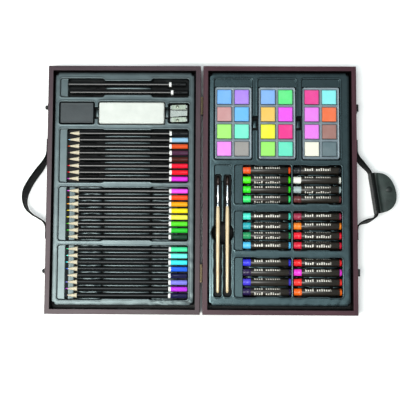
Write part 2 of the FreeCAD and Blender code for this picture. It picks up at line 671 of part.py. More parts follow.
def hinge_leaf(side, y):
    """One leaf, flat on a hinge stile: side -1 has the outer knuckles, side 1 those between them."""
    radius = HINGE_KNUCKLE_DIA / 2
    wall = side * HINGE_GAP / 2
    start = -HINGE_LENGTH / 2
    top = -radius - HINGE_CLEAR
    leaf = wall_plate(wall, -side, start, -start, -HINGE_LEAF_HEIGHT, top, HINGE_LEAF, HINGE_LEAF_CORNER)
    step = (HINGE_LENGTH + HINGE_KNUCKLE_GAP) / HINGE_KNUCKLES
    inner = wall - side * HINGE_LEAF
    knuckles = []
    for i in range(0 if side < 0 else 1, HINGE_KNUCKLES, 2):
        low = start + i * step
        high = low + step - HINGE_KNUCKLE_GAP
        knuckles.append(cylinder(radius, high - low, V(0, low, 0), Y_AXIS))
        knuckles.append(block(min(wall, inner), max(wall, inner), low, high, top - HINGE_LEAF_CORNER, 0))
    bore = HINGE_PIN_DIA / 2 + (0 if side < 0 else RUNNING_FIT)
    leaf = leaf.fuse(knuckles).cut(cylinder(bore, HINGE_LENGTH, V(0, start, 0), Y_AXIS))
    return leaf.removeSplitter().translated(V(HINGE_X, y, HINGE_Z))


def hinge_screws(side, y):
    face = HINGE_X + side * (HINGE_GAP / 2 - HINGE_LEAF)
    inward = V(side, 0, 0)
    return [sink_screw(V(face, y + way * HINGE_SCREW_SPREAD / 2, HINGE_Z - HINGE_SCREW_DROP), inward)
            for way in (-1, 1)]


def strike(y):
    """A latch's fixed half on the left wall: plate, riveted stud and two screws."""
    top = HALF_DEPTH - STRIKE_TOP_DROP
    half = LATCH_WIDTH / 2
    plate = wall_plate(LEFT_WALL, -1, y - half, y + half, top - STRIKE_HEIGHT, top, LATCH_PLATE,
                       LATCH_CORNER)
    neck_end = LATCH_PLATE + STUD_NECK
    head_end = neck_end + STUD_HEAD
    profile = ((0, 0), (0, STUD_TAIL_DIA / 2), (LATCH_PLATE, STUD_TAIL_DIA / 2),
               (LATCH_PLATE, STUD_NECK_DIA / 2), (neck_end, STUD_NECK_DIA / 2),
               (neck_end, STUD_HEAD_DIA / 2), (neck_end + STUD_HEAD / 2, STUD_HEAD_DIA / 2),
               (head_end, STUD_HEAD_DIA / 4), (head_end, 0))
    stud = turned(profile, V(LEFT_WALL, y, HALF_DEPTH - STUD_DROP), V(-1, 0, 0))
    screw_z = top - STRIKE_HEIGHT + STRIKE_SCREW_RISE
    screws = [sink_screw(V(LEFT_WALL - LATCH_PLATE, y + way * STRIKE_SCREW_SPREAD / 2, screw_z), X_AXIS)
              for way in (-1, 1)]
    return plate.cut([stud, *screws]), stud, screws


def hasp_set(y):
    """A latch's swinging half on the right wall: base plate, pin, hasp hanging aslant, two screws."""
    pivot = V(RIGHT_WALL + HASP_PIVOT_OFF, y, HALF_DEPTH - HASP_PIVOT_DROP)
    half = LATCH_WIDTH / 2
    radius = HASP_KNUCKLE_DIA / 2
    pin_radius = HASP_PIN_DIA / 2
    inner = HASP_KNUCKLE_LENGTH / 2
    outer_from = inner + HASP_KNUCKLE_GAP
    wall = -HASP_PIVOT_OFF
    base = wall_plate(wall, 1, -half, half, -HASP_PLATE_HEIGHT, -HASP_SHOULDER, LATCH_PLATE, LATCH_CORNER)
    ears = []
    for low in (-half, outer_from):
        high = low + half - outer_from
        ears.append(cylinder(radius, high - low, V(0, low, 0), Y_AXIS))
        ears.append(block(wall, wall + LATCH_PLATE, low, high, -HASP_SHOULDER - LATCH_CORNER, 0))
        ears.append(block(wall, 0, low, high, 0, radius))
    pin = cylinder(pin_radius, 2 * half, V(0, -half, 0), Y_AXIS)
    base = base.fuse(ears).cut(pin).removeSplitter()
    side = strip(((0, 0), (0, -HASP_LENGTH), (-HASP_LIP_OUT, HASP_LIP_UP - HASP_LENGTH)),
                 (0, HASP_LIP_ROUND, 0), LATCH_PLATE)
    plate = sideways(prism(side, -half, half))
    reach = HASP_LIP_OUT + LATCH_PLATE
    shoulders = [block(-reach, reach, low, low + half - inner, -HASP_SHOULDER, radius)
                 for low in (-half, inner)]
    slot_half = HASP_SLOT_WIDTH / 2
    slot = wall_plate(-LATCH_PLATE, 1, -slot_half, slot_half, -HASP_SLOT_TO, -HASP_SLOT_FROM,
                      2 * LATCH_PLATE, HASP_SLOT_CORNER)
    knuckle = cylinder(radius, HASP_KNUCKLE_LENGTH, V(0, -inner, 0), Y_AXIS)
    bore = cylinder(pin_radius + RUNNING_FIT, 2 * half, V(0, -half, 0), Y_AXIS)
    hasp = plate.cut([*shoulders, slot]).fuse(knuckle).cut(bore).removeSplitter()
    hasp = hasp.rotated(ORIGIN, Y_AXIS, -HASP_REST_TILT)
    screw_z = (-HASP_PLATE_HEIGHT - HASP_SHOULDER) / 2
    screws = [sink_screw(V(wall + LATCH_PLATE, way * STRIKE_SCREW_SPREAD / 2, screw_z), V(-1, 0, 0))
              for way in (-1, 1)]
    pieces = [base.cut(screws), pin, hasp, *screws]
    base, pin, hasp, *screws = [piece.translated(pivot) for piece in pieces]
    return base, pin, hasp, screws


def strap(wall, outward, loop, loop_radii):
    """A webbing strap: fixed ends flat on the wall, and the loop that swings clear of them."""
    flat = STRAP_THICK / 2
    points = [(flat, STRAP_END), (flat, STRAP_BEND), *loop, (flat, STRAP_FOOT), (flat, -STRAP_END)]
    radii = [0, STRAP_BEND_RADIUS, *loop_radii, STRAP_FOOT_RADIUS, 0]
    placed = [(wall + outward * off, y) for off, y in points]
    low = STRAP_Z - STRAP_WIDTH / 2
    band = prism(strip(placed, radii, STRAP_THICK), low, low + STRAP_WIDTH)
    screws = []
    for way in (-1, 1):
        profile = ((-STRAP_SCREW_DEPTH, 0), (-STRAP_SCREW_DEPTH, STRAP_SCREW_SHANK / 2),
                   (STRAP_THICK, STRAP_SCREW_SHANK / 2), (STRAP_THICK, STRAP_SCREW_DIA / 2),
                   (STRAP_THICK + STRAP_SCREW_DOME / 2, STRAP_SCREW_DIA / 2),
                   (STRAP_THICK + STRAP_SCREW_DOME, STRAP_SCREW_DIA / 4),
                   (STRAP_THICK + STRAP_SCREW_DOME, 0))
        screws.append(turned(profile, V(wall, way * STRAP_SCREW_AT, STRAP_Z), V(outward, 0, 0)))
    root = V(wall, -STRAP_END, STRAP_Z)
    fixed_zone = cylinder(STRAP_SWING_CUT - STRAP_SWING_GAP, 2 * STRAP_END, root, Y_AXIS)
    swing_zone = cylinder(STRAP_SWING_CUT, 2 * STRAP_END, root, Y_AXIS)
    return band.common(fixed_zone).cut(screws), band.cut(swing_zone), screws


def wrap_place(shape):
    """From the wrap's own frame, X out and Y along the strap, to the straight run of the right strap."""
    (out_a, y_a), (out_b, y_b) = RIGHT_LOOP
    turn = math.degrees(math.atan2(out_b - out_a, y_a - y_b))
    middle = V(RIGHT_WALL + (out_a + out_b) / 2, (y_a + y_b) / 2, STRAP_Z)
    return shape.rotated(ORIGIN, Z_AXIS, turn).translated(middle)


def handle_wrap():
    """A leatherette sheet folded round the strap, its two leaves held together by a snap."""
    spine_x = -STRAP_THICK / 2 - WRAP_CLEAR - WRAP_SHEET / 2
    edge_z = STRAP_WIDTH / 2 + WRAP_CLEAR + WRAP_SHEET / 2
    leaf_z = WRAP_LEAF_GAP / 2 + WRAP_SHEET / 2
    bead = WRAP_SHEET / 2
    hinge_z = edge_z + WRAP_CLEAR
    sleeve_line = ((WRAP_OUT, -leaf_z), (WRAP_PINCH, -leaf_z), (WRAP_SHOULDER, -edge_z),
                   (spine_x, -edge_z), (spine_x, hinge_z - bead - GROOVE_CLEAR))
    sleeve_bends = (0, WRAP_PINCH_ROUND, WRAP_FOLD_ROUND, WRAP_FOLD_ROUND, 0)
    flap_line = ((spine_x, hinge_z), (WRAP_SHOULDER, hinge_z), (WRAP_PINCH, leaf_z), (WRAP_OUT, leaf_z))
    flap_bends = (0, WRAP_FOLD_ROUND, WRAP_PINCH_ROUND, 0)
    back = spine_x - WRAP_SHEET
    long = WRAP_HALF_LENGTH
    outline = ((back, -long), (WRAP_OUT - WRAP_STRAIGHT, -long), (WRAP_OUT, -long / 2),
               (WRAP_OUT, long / 2), (WRAP_OUT - WRAP_STRAIGHT, long), (back, long))
    bends = (0, WRAP_CORNER_ROUND, WRAP_CORNER_ROUND, WRAP_CORNER_ROUND, WRAP_CORNER_ROUND, 0)
    lid = prism(rounded(outline, bends), -STRAP_WIDTH, STRAP_WIDTH)
    sleeve = sideways(prism(strip(sleeve_line, sleeve_bends, WRAP_SHEET), -long, long)).common(lid)
    flap = sideways(prism(strip(flap_line, flap_bends, WRAP_SHEET), -long, long)).common(lid)
    flap = flap.fuse(cylinder(bead, 2 * long, V(spine_x, -long, hinge_z), Y_AXIS))
    snap = V(SNAP_OUT, SNAP_ALONG, 0)
    leaf_top = leaf_z + WRAP_SHEET / 2
    leaf_low = WRAP_LEAF_GAP / 2
    shank = SNAP_SHANK_DIA / 2
    dome_top = leaf_top + SNAP_CAP_DOME
    cap = turned(((leaf_low, 0), (leaf_low, shank), (leaf_top, shank), (leaf_top, SNAP_CAP_DIA / 2),
                  (leaf_top + SNAP_CAP_DOME / 2, SNAP_CAP_SHOULDER_DIA / 2),
                  (dome_top, SNAP_CAP_TOP_DIA / 2), (dome_top, 0)), snap, Z_AXIS)
    stud_top = SNAP_STUD_HEIGHT - leaf_low
    stud = turned(((-leaf_top, 0), (-leaf_top, shank), (-leaf_low, shank), (-leaf_low, SNAP_STUD_DIA / 2),
                   (stud_top, SNAP_STUD_DIA / 2), (stud_top, 0)), snap, Z_AXIS)
    pieces = (sleeve.cut(stud), flap.cut(cap).removeSplitter(), stud, cap)
    return [wrap_place(piece) for piece in pieces]


def left_contents():
    """The left tray's hollows, with the pencils, erasers and sharpener that lie in them."""
    hollows = []
    cradles = []
    tip_x = left_contents_x + PENCIL_SHELF
    y = tray_back - TRAY_BACK_LAND - graphite_width / 2
    found, ribs, axes, axis_z = pencil_pocket(y, graphite_width, GRAPHITE_COUNT, GRAPHITE_PITCH,
                                              GRAPHITE_MARGIN)
    hollows += found
    cradles += ribs
    graphite = [flat_ended_pencil(V(tip_x + GRAPHITE_START + i * GRAPHITE_SHIFT, axis, axis_z), X_AXIS)
                for i, axis in enumerate(axes)]
    export("graphite_pencils", *graphite)

    y -= graphite_width / 2 + GRAPHITE_LAND + block_width / 2
    pockets = ((dark_pocket, DARK_BLOCK_WIDTH, dark_block_depth, LOOSE),
               (eraser_pocket, ERASER_WIDTH, eraser_depth, LOOSE),
               (sharpener_pocket, SHARPENER_WIDTH, sharpener_depth, SHARPENER_ROOM))
    gaps = (BLOCK_NOTCH, SHARPENER_NOTCH, 0)
    x = left_contents_x
    starts = []
    for (length, width, depth, room), gap in zip(pockets, gaps):
        half = width / 2 + room
        hollows.append((rectangle(x, x + length, y - half, y + half, POCKET_CORNER), TRAY_TOP - depth))
        starts.append(x + room)
        x += length
        if gap:
            notch = rectangle(x - NOTCH_ROUND - NOTCH_BITE, x + gap + NOTCH_ROUND + NOTCH_BITE,
                              y - BLOCK_NOTCH_WIDTH / 2, y + BLOCK_NOTCH_WIDTH / 2, NOTCH_ROUND)
            hollows.append((notch, TRAY_TOP - NOTCH_DROP))
            x += gap
    dark_x, eraser_x, sharpener_x = starts
    half = DARK_BLOCK_WIDTH / 2
    top = TRAY_TOP + DARK_BLOCK_PROUD
    export("dark_eraser", soft_block(dark_x, dark_x + DARK_BLOCK_LENGTH, y - half, y + half,
                                     top - DARK_BLOCK_HEIGHT, top, DARK_BLOCK_ROUND))
    half = ERASER_WIDTH / 2
    top = TRAY_TOP + ERASER_PROUD
    export("white_eraser", soft_block(eraser_x, eraser_x + ERASER_LENGTH, y - half, y + half,
                                      top - ERASER_HEIGHT, top, ERASER_ROUND))
    body, blades, screws = sharpener(sharpener_x, y, TRAY_TOP - sharpener_depth)
    export("sharpener_body", body)
    export("sharpener_blades", *blades)
    export("sharpener_screws", *screws)

    y -= block_width / 2 + BLOCK_LAND + row_width / 2
    for row in range(PENCIL_ROWS):
        found, ribs, axes, axis_z = pencil_pocket(y, row_width, PENCILS_PER_ROW, PENCIL_PITCH,
                                                  PENCIL_MARGIN)
        hollows += found
        cradles += ribs
        pencils = [pencil(V(tip_x + row_shift(row * PENCILS_PER_ROW + i), axis, axis_z), X_AXIS)
                   for i, axis in enumerate(axes)]
        export(f"pencil_row_{row + 1}", *pencils)
        y -= row_width + ROW_LAND
    return hollows, cradles


def right_contents():
    """The right tray's hollows, with the palettes, brushes and pastels that lie in them."""
    hollows = []
    cradles = []
    left = right_contents_x
    y1 = tray_back - TRAY_BACK_LAND
    y0 = y1 - palette_pocket_length
    for i in range(PALETTES):
        x0 = left + i * (palette_pocket + PALETTE_LAND)
        x1 = x0 + palette_pocket
        hollows.append((rectangle(x0, x1, y0, y1, POCKET_CORNER), SHELF_Z))
        hollows.append((rectangle(x0, x1, y0, y1 - PALETTE_SHELF, POCKET_CORNER), TRAY_TOP - palette_depth))
        centre_x = (x0 + x1) / 2
        centre_y = y0 + LOOSE + PALETTE_LENGTH / 2
        body, cakes = palette_with_cakes(centre_x, centre_y, TRAY_TOP + PALETTE_PROUD)
        export(f"palette_{i + 1}", body)
        export(f"paint_cakes_{i + 1}", *cakes)
        if i < PALETTES - 1:
            bite = NOTCH_ROUND + NOTCH_BITE
            notch = rectangle(x1 - bite, x1 + PALETTE_LAND + bite, centre_y - PALETTE_NOTCH / 2,
                              centre_y + PALETTE_NOTCH / 2, NOTCH_ROUND)
            hollows.append((notch, TRAY_TOP - NOTCH_DROP))

    y1 = y0 - PAINT_LAND
    shelf_y = y1 - BRUSH_SHELF
    end_y = shelf_y - brush_length - BRUSH_SLACK
    tip_y = shelf_y - BRUSH_SLACK / 4
    brush_z = TRAY_TOP - BRUSH_SINK - BRUSH_HANDLE_DIA / 2
    floor = TRAY_TOP - brush_depth
    shelf = rectangle(left, left + brush_pocket, shelf_y - BRUSH_CHANNEL, y1, POCKET_CORNER)
    hollows.append((shelf, SHELF_Z))
    brushes = []
    for i in range(BRUSH_COUNT):
        x = left + BRUSH_CHANNEL / 2 + i * BRUSH_PITCH
        half = BRUSH_CHANNEL / 2
        hollows.append((rectangle(x - half, x + half, end_y, shelf_y, POCKET_CORNER), floor))
        brushes.append(brush(x, tip_y, brush_z))
    for name, pieces in zip(("brush_handles", "brush_ferrules", "brush_hairs"), zip(*brushes)):
        export(name, *pieces)
    well = circle(left + brush_pocket / 2, tip_y - BRUSH_WELL_FROM_HAIR, BRUSH_WELL_DIA / 2)
    hollows.append((well, TRAY_TOP - NOTCH_DROP))

    columns = (("left", left + pastel_from, PASTEL_SHELF),
               ("right", left + pastel_from + PASTEL_SHELF + pastel_pocket + PASTEL_COLUMN_LAND, 0))
    for name, x0, shelf in columns:
        for row in range(PASTEL_GROUP_ROWS):
            centre_y = y1 - pastel_width / 2 - row * (pastel_width + PASTEL_ROW_LAND)
            found = rounds_pocket(x0, x0 + shelf + pastel_pocket, centre_y, pastel_width, shelf,
                                  pastel_depth, PASTELS_PER_GROUP, PASTEL_PITCH, PASTEL_DIA, PASTEL_SINK,
                                  (PASTEL_CRADLE_FROM, PASTEL_CRADLE_LENGTH), PASTEL_MARGIN)
            hollows += found[0]
            cradles.append(found[1])
            axes, axis_z = found[2:4]
            start = x0 + shelf + PASTEL_SLACK / 2
            export(f"pastels_{name}_{row + 1}", *[pastel(V(start, axis, axis_z)) for axis in axes])
    return hollows, cradles


def main():
    os.makedirs("parts", exist_ok=True)
    hinge_ys = [way * HINGE_SPREAD / 2 for way in (1, -1)]
    latch_ys = [way * LATCH_SPREAD / 2 for way in (1, -1)]
    bores = {"left_hinge": [], "left_outer": [], "right_hinge": [], "right_outer": []}
    for name, side in (("left", -1), ("right", 1)):
        screws = [screw for y in hinge_ys for screw in hinge_screws(side, y)]
        bores[f"{name}_hinge"] += screws
        export(f"{name}_hinge_leaves", *[hinge_leaf(side, y).cut(screws) for y in hinge_ys])
        export(f"{name}_hinge_screws", *screws)
    pin_starts = [V(HINGE_X, y - HINGE_LENGTH / 2, HINGE_Z) for y in hinge_ys]
    pins = [cylinder(HINGE_PIN_DIA / 2, HINGE_LENGTH, start, Y_AXIS) for start in pin_starts]
    export("hinge_pins", *pins)

    strikes = [strike(y) for y in latch_ys]
    strike_screws = [screw for _, _, screws in strikes for screw in screws]
    bores["left_outer"] += strike_screws
    export("strike_plates", *[plate for plate, _, _ in strikes])
    export("latch_studs", *[stud for _, stud, _ in strikes])
    export("strike_screws", *strike_screws)
    hasps = [hasp_set(y) for y in latch_ys]
    hasp_screws = [screw for *_, screws in hasps for screw in screws]
    bores["right_outer"] += hasp_screws
    export("hasp_plates", *[base for base, *_ in hasps])
    export("hasp_pins", *[pin for _, pin, _, _ in hasps])
    export("hasp_screws", *hasp_screws)
    for name, (_, _, hasp, _) in zip(("back_hasp", "front_hasp"), hasps):
        export(name, hasp)

    straps = (("left", LEFT_WALL, -1, LEFT_LOOP, LEFT_LOOP_RADII),
              ("right", RIGHT_WALL, 1, RIGHT_LOOP, RIGHT_LOOP_RADII))
    for name, wall, outward, loop, radii in straps:
        ends, swing, screws = strap(wall, outward, loop, radii)
        bores[f"{name}_outer"] += screws
        export(f"{name}_strap_ends", ends)
        export(f"{name}_strap_loop", swing)
        export(f"{name}_strap_screws", *screws)
    for name, piece in zip(("wrap_sleeve", "wrap_flap", "snap_stud", "snap_cap"), handle_wrap()):
        export(name, piece)

    for name, half_x, hinge_side, contents in (("left", 0, 1, left_contents),
                                               ("right", RIGHT_X, -1, right_contents)):
        outer_stile, hinge_stile, front_rail, back_rail, panel = case_boards(half_x, hinge_side)
        export(f"{name}_outer_stile", outer_stile.cut(bores[f"{name}_outer"]))
        export(f"{name}_hinge_stile", hinge_stile.cut(bores[f"{name}_hinge"]))
        export(f"{name}_front_rail", front_rail)
        export(f"{name}_back_rail", back_rail)
        export(f"{name}_base_panel", panel)
        hollows, cradles = contents()
        export(f"{name}_tray", moulded_tray(half_x, hollows, cradles))
    print(f"half {HALF_WIDTH:.1f} x {CASE_LENGTH:.1f} x {HALF_DEPTH:.1f}")


main()
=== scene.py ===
import math

import bmesh
import bpy
import numpy as np
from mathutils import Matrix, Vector


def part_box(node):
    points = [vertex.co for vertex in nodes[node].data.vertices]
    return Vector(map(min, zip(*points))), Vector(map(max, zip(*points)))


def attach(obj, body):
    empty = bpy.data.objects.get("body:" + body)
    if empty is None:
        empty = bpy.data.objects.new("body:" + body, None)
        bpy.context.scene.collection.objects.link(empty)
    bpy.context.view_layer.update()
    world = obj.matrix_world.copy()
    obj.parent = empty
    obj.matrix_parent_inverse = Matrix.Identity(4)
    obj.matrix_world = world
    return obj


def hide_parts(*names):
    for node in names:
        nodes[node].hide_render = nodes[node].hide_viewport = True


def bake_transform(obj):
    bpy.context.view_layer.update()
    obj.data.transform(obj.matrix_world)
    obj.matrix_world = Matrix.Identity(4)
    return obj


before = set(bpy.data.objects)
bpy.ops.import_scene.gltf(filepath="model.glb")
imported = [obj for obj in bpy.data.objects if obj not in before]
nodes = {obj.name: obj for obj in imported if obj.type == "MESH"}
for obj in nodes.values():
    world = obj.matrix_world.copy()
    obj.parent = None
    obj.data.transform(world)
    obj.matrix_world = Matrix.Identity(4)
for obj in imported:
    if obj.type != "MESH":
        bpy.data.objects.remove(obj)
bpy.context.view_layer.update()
MM = 0.001

# Layout of the moulded trays, in millimetres, as the solids have it
DECK = 19.9
SHELF = 17.7
PANEL_TOP = 3.0
TRAY_CORNER = 8.0
POCKET_CORNER = 3.0
WAIST_SLOPE = 4.0
WAIST_CLEAR = 0.6
NOTCH_FLOOR = 9.9
NOTCH_BITE = 2.5
NOTCH_HALF = 8.5
NOTCH_CORNER = 2.0
KNOB_RADIUS = 3.0
BLOCK_ROOM = {"dark_eraser": 1.5, "white_eraser": 1.2, "sharpener_body": 3.0}
ROW_ENDS = (-94.95, 94.25)
ROW_DEEP = -84.55
ROW_WAIST = (-28.75, 37.85)
LOW_RIBS = ((-65.75, -31.75), (40.85, 74.85))
LOW_CRESTS = {"graphite_pencils": -4.0, "pencil_row_1": -3.6, "pencil_row_2": -0.9, "pencil_row_3": 0.7}
LOW_RIB_DIP = 1.3
PENCIL_CREST = 1.9
PENCIL_CROWN = 3.6
PENCIL_RADIUS = 3.5
PENCIL_LENGTH = 177.4
PENCIL_SLACK = 1.4
PENCIL_STAGGER = 0.15
PENCIL_AXIS = 15.5
PENCIL_FLOOR = 11.0
PENCIL_RING = 150.2
LEAD_LENGTH = 3.6
CONE_LENGTH = 18.2
LEDGED_ROWS = ("pencil_row_2", "pencil_row_3")
TIP_LEDGE = (3.2, 13.0)
LEDGE_FALL = (13.9, 12.3)
GRAPHITE_LENGTH = 174.0
GRAPHITE_RING = 149.2
RING_WIDTH = 3.2
ROW_PITCH = 9.6
ROW_MARGIN = 2.2
GRAPHITE_PITCH = 12.0
GRAPHITE_MARGIN = 4.2
GRAPHITE_SHIFT = 2.8
PASTEL_COLUMNS = {"left": (161.85, 173.65, 244.25), "right": (247.25, 247.25, 317.85)}
PASTEL_RADIUS = 5.5
WAX_RADIUS = 5.0
PASTEL_LENGTH = 69.2
PASTEL_AXIS = 13.7
PASTEL_FLOOR = 7.2
PASTEL_PITCH = 14.1
PASTEL_MARGIN = 1.9
PASTEL_RIB = (22.0, 50.0)
PASTEL_CREST = 1.6
PASTEL_CROWN = 3.0
PASTEL_END_CREST = 1.2
PASTEL_END_CROWN = 1.2
PASTEL_END_DIP = 2.4
PALETTE_POCKETS = ((131.75, 187.95), (195.95, 252.15), (260.15, 316.35))
PALETTE_ENDS = (43.55, 151.95, 163.15)
PALETTE_FLOOR = 12.3
PALETTE_NOTCH = 10.35
PALETTE_CORNER = 3.0
CELL = 22.6
CELL_PITCH = 25.6
CELL_DEPTH = 6.0
CELL_CORNER = 1.5
CAKE_SHIFT = 0.5
CAKE_GAP = 1.0
CAKE_HEIGHT = 4.1
CAKE_EDGE = 0.5
CAKE_DISH = 0.2
BRUSH_AXES = (137.75, 151.55)
BRUSH_CHANNEL = 5.2
BRUSH_ENDS = (-155.55, 21.95)
BRUSH_SHELF = (132.55, 156.75, 11.55, 35.85)
BRUSH_FLOOR = 13.2
BRUSH_DIP = 0.7
BRUSH_WELL = (144.65, -63.375, 16.0)
BRUSH_WELL_RISE = 3.0

# How the sheet lies: a sliver keeps faces apart, and nothing stands where a shape is absent
SLIVER = 0.05
ABSENT = -1e3
GROOVE_GAP = 0.3
RIB_END_FALL = 2.2
BEAD = 0.22
BEAD_OFF = 1.4
BEAD_WIDTH = 0.7
# Below this height the sheet takes the near-black, dull copy that paints the shade in the deep pockets
POCKET_SHADE_BELOW = 16.2
CRINKLE = 0.06
CRINKLE_TOP = 0.3
CREASE_LENGTHS = (10, 34)
FRONT_CREASE = 22
SIDE_CREASE = (16, 150)
EDGE_OFFSETS = (0.0, -0.4, 0.4, 0.8, -0.8, 1.3, -1.3, 2.1, -2.1)
WAIST_LINES = range(-4, 5)
NEAREST_LINE = 0.3
RIB_STEP = 2.2
WELL_STEP = 1.2
BRUSH_STEP = 2.6
DECK_STEP = 5.0
PALETTE_STEP = 6.0
PENCIL_SIDES = 28
PASTEL_SIDES = 36

# Colours of the pieces, row by row from the back, each row from the left or the back
PENCIL_TINTS = (
    ("101114", "8FBCD8", "D8501E", "48243E", "4A1C14", "E81030", "F01428", "DC2CD6"),
    ("EE52E8", "F24A14", "F4A20C", "F4DC10", "F2EC50", "54D624", "28C030", "163C28"),
    ("48DE9E", "70F0E4", "40E2EA", "2462E0", "15153E", "7E7EDC", "BA34E0", "181840"))
CAKE_TINTS = (
    ("6CAAEA", "A87EE8", "C08C8C", "62B2EE", "9CE668", "70E4C6", "E484EA", "928E8A"),
    ("7EAEEA", "5CE482", "EABE58", "EA52EA", "EAEE20", "E82C8A", "92E85E", "5CDCBA"),
    ("E83A94", "86EAEA", "E87CE8", "EE7040", "E87CE8", "9E7068", "ECEAD8", "5C7076"))
PASTEL_TINTS = {
    "left": (("F0500E", "4CEC0A", "28E012", "38EA74"), ("4AE4C8", "1EA4AE", "1E9258", "50BEF2"),
             ("3030DE", "241042", "4438D0", "200C46")),
    "right": (("0E1216", "F2F2E6", "A2B4B4", "5E2626"), ("9C2846", "F2821A", "F0102E", "D81838"),
              ("EC161C", "EC32D2", "F02C24", "F46404"))}


# Materials: noise sized in millimetres, colours between two tones, and relief of a real depth

def linear(code):
    """An sRGB hex colour as linear RGBA."""
    channels = [int(code[i:i + 2], 16) / 255 for i in (0, 2, 4)]
    return tuple(c / 12.92 if c <= 0.04045 else ((c + 0.055) / 1.055) ** 2.4 for c in channels) + (1.0,)


def add(tree, kind, sockets=None, out=0, **settings):
    """A node with its settings, values and links; gives back one of its outputs."""
    node = tree.nodes.new(kind)
    for key, value in settings.items():
        setattr(node, key, value)
    for key, value in (sockets or {}).items():
        if isinstance(value, bpy.types.NodeSocket):
            tree.links.new(value, node.inputs[key])
        else:
            node.inputs[key].default_value = value
    return node.outputs[out] if node.outputs else None


def blank(name):
    """A new material with an empty tree."""
    material = bpy.data.materials.new(name)
    material.use_nodes = True
    material.node_tree.nodes.clear()
    return material, material.node_tree


def mottled(tree, size, stretch=None, **sockets):
    """Noise with marks of a size in millimetres on the piece itself, drawn out by a stretch."""
    spot = add(tree, "ShaderNodeTexCoord", out="Object")
    if stretch:
        spot = add(tree, "ShaderNodeMapping", {"Vector": spot, "Scale": stretch})
    return add(tree, "ShaderNodeTexNoise", {"Vector": spot, "Scale": 1000 / size, **sockets})


def toned(tree, pattern, first, second, low=0.3, high=0.7, most=1.0):
    """A colour that goes from one tone towards another as a pattern goes from low to high."""
    tones = [linear(tone) if isinstance(tone, str) else tone for tone in (first, second)]
    share = add(tree, "ShaderNodeMapRange",
                {"Value": pattern, "From Min": low, "From Max": high, "To Max": most})
    return add(tree, "ShaderNodeMix", {0: share, 6: tones[0], 7: tones[1]}, 2, data_type="RGBA")


def painted(tree, tone, paint, along, side, place):
    """A tone covered by a paint on one side of a place along the piece."""
    where = add(tree, "ShaderNodeMath", {0: along, 1: place}, operation=side)
    return add(tree, "ShaderNodeMix", {0: where, 6: tone, 7: paint}, 2, data_type="RGBA")


def striped(tree, place, pitch, width):
    """One on stripes of a width at every pitch, and nought between them."""
    place = add(tree, "ShaderNodeMath", {0: place, 1: pitch, 2: 0.0}, operation="WRAP")
    return add(tree, "ShaderNodeMath", {0: place, 1: width}, operation="LESS_THAN")


def surfaced(material, tone, height, strength, depth, rough, skin=None):
    """The material with its tone, a relief with a depth in millimetres and a roughness: one value, or a
    pattern and the two values that it goes between."""
    tree = material.node_tree
    if isinstance(rough, tuple):
        pattern, low, high = rough
        rough = add(tree, "ShaderNodeMapRange",
                    {"Value": pattern, "From Min": 0.3, "From Max": 0.7, "To Min": low, "To Max": high})
    bump = add(tree, "ShaderNodeBump", {"Height": height, "Strength": strength, "Distance": depth * MM})
    coat = add(tree, "ShaderNodeBsdfPrincipled",
               {"Base Color": tone, "Roughness": rough, "Normal": bump, **(skin or {})})
    add(tree, "ShaderNodeOutputMaterial", {"Surface": coat})
    return material


def stained_poplar(name, stretch, middle, dark, light, pore):
    # Poplar boards, stained mahogany and lacquered satin: streaks 2 mm wide along the board, fine dark
    # pores, a slow change of tone, and painted shade: near black on the faces that look towards the middle of
    # the case
    material, tree = blank(name)
    streaks = mottled(tree, 2.2, stretch, Detail=6.0, Distortion=0.4)
    tone = toned(tree, streaks, dark, light)
    tone = toned(tree, mottled(tree, 70, Detail=2.0), tone, pore, most=0.35)
    tone = toned(tree, mottled(tree, 0.6, stretch, Detail=2.0), tone, pore, 0.6, 0.72, 0.7)
    spot = add(tree, "ShaderNodeTexCoord", out="Object")
    facing = add(tree, "ShaderNodeTexCoord", out="Normal")
    inward_shade = add(tree, "ShaderNodeVectorMath", {0: spot, 1: middle}, operation="SUBTRACT")
    inward_shade = add(tree, "ShaderNodeVectorMath", {0: inward_shade, 1: (1, 1, 0)}, operation="MULTIPLY")
    inward_shade = add(tree, "ShaderNodeVectorMath", {0: inward_shade, 1: facing}, "Value", operation="DOT_PRODUCT")
    # Painted shade: faces turned towards the middle of the case, down in the gaps round the trays, go near
    # black
    tone = toned(tree, inward_shade, tone, "080506", -0.01, -0.04, 0.95)
    gloss = add(tree, "ShaderNodeMapRange",
                {"Value": streaks, "From Min": 0.2, "From Max": 0.8, "To Min": 0.38, "To Max": 0.52})
    return surfaced(material, tone, streaks, 0.25, 0.15, gloss, {"Specular IOR Level": 0.36})


def stained_plywood(name):
    # Rotary-cut plywood with a thin stain outside: broad flame figure, dull face. Its upward faces get
    # painted shade, a near-black tone, so that the gaps round the trays read as dark lines
    material, tree = blank(name)
    figure = mottled(tree, 9, (1, 0.1, 1), Detail=5.0, Distortion=1.2)
    tone = toned(tree, figure, "33201C", "4E332A")
    facing = add(tree, "ShaderNodeTexCoord", out="Normal")
    upward = add(tree, "ShaderNodeSeparateXYZ", {0: facing}, "Z")
    # Painted shade: near black where the face looks up, deep in the gaps round the trays
    tone = toned(tree, upward, tone, "060505", 0.4, 0.6)
    return surfaced(material, tone, figure, 0.3, 0.2, 0.6)


def drawn_sheet(name, cast, level, low, high):
    # Black polystyrene sheet drawn hot over a mould: satin gloss with a blue cast, slow ripples a few
    # centimetres long and a thin haze of dust
    material, tree = blank(name)
    ripples = mottled(tree, 24, Detail=2.0, Distortion=0.5)
    dust = mottled(tree, 40, Detail=5.0, Roughness=0.65)
    tone = toned(tree, dust, "06080A", "0C1012", 0.4, 0.8)
    return surfaced(material, tone, ripples, 0.4, 0.8, (dust, low, high),
                    {"IOR": 1.59, "Specular IOR Level": level, "Specular Tint": linear(cast)})


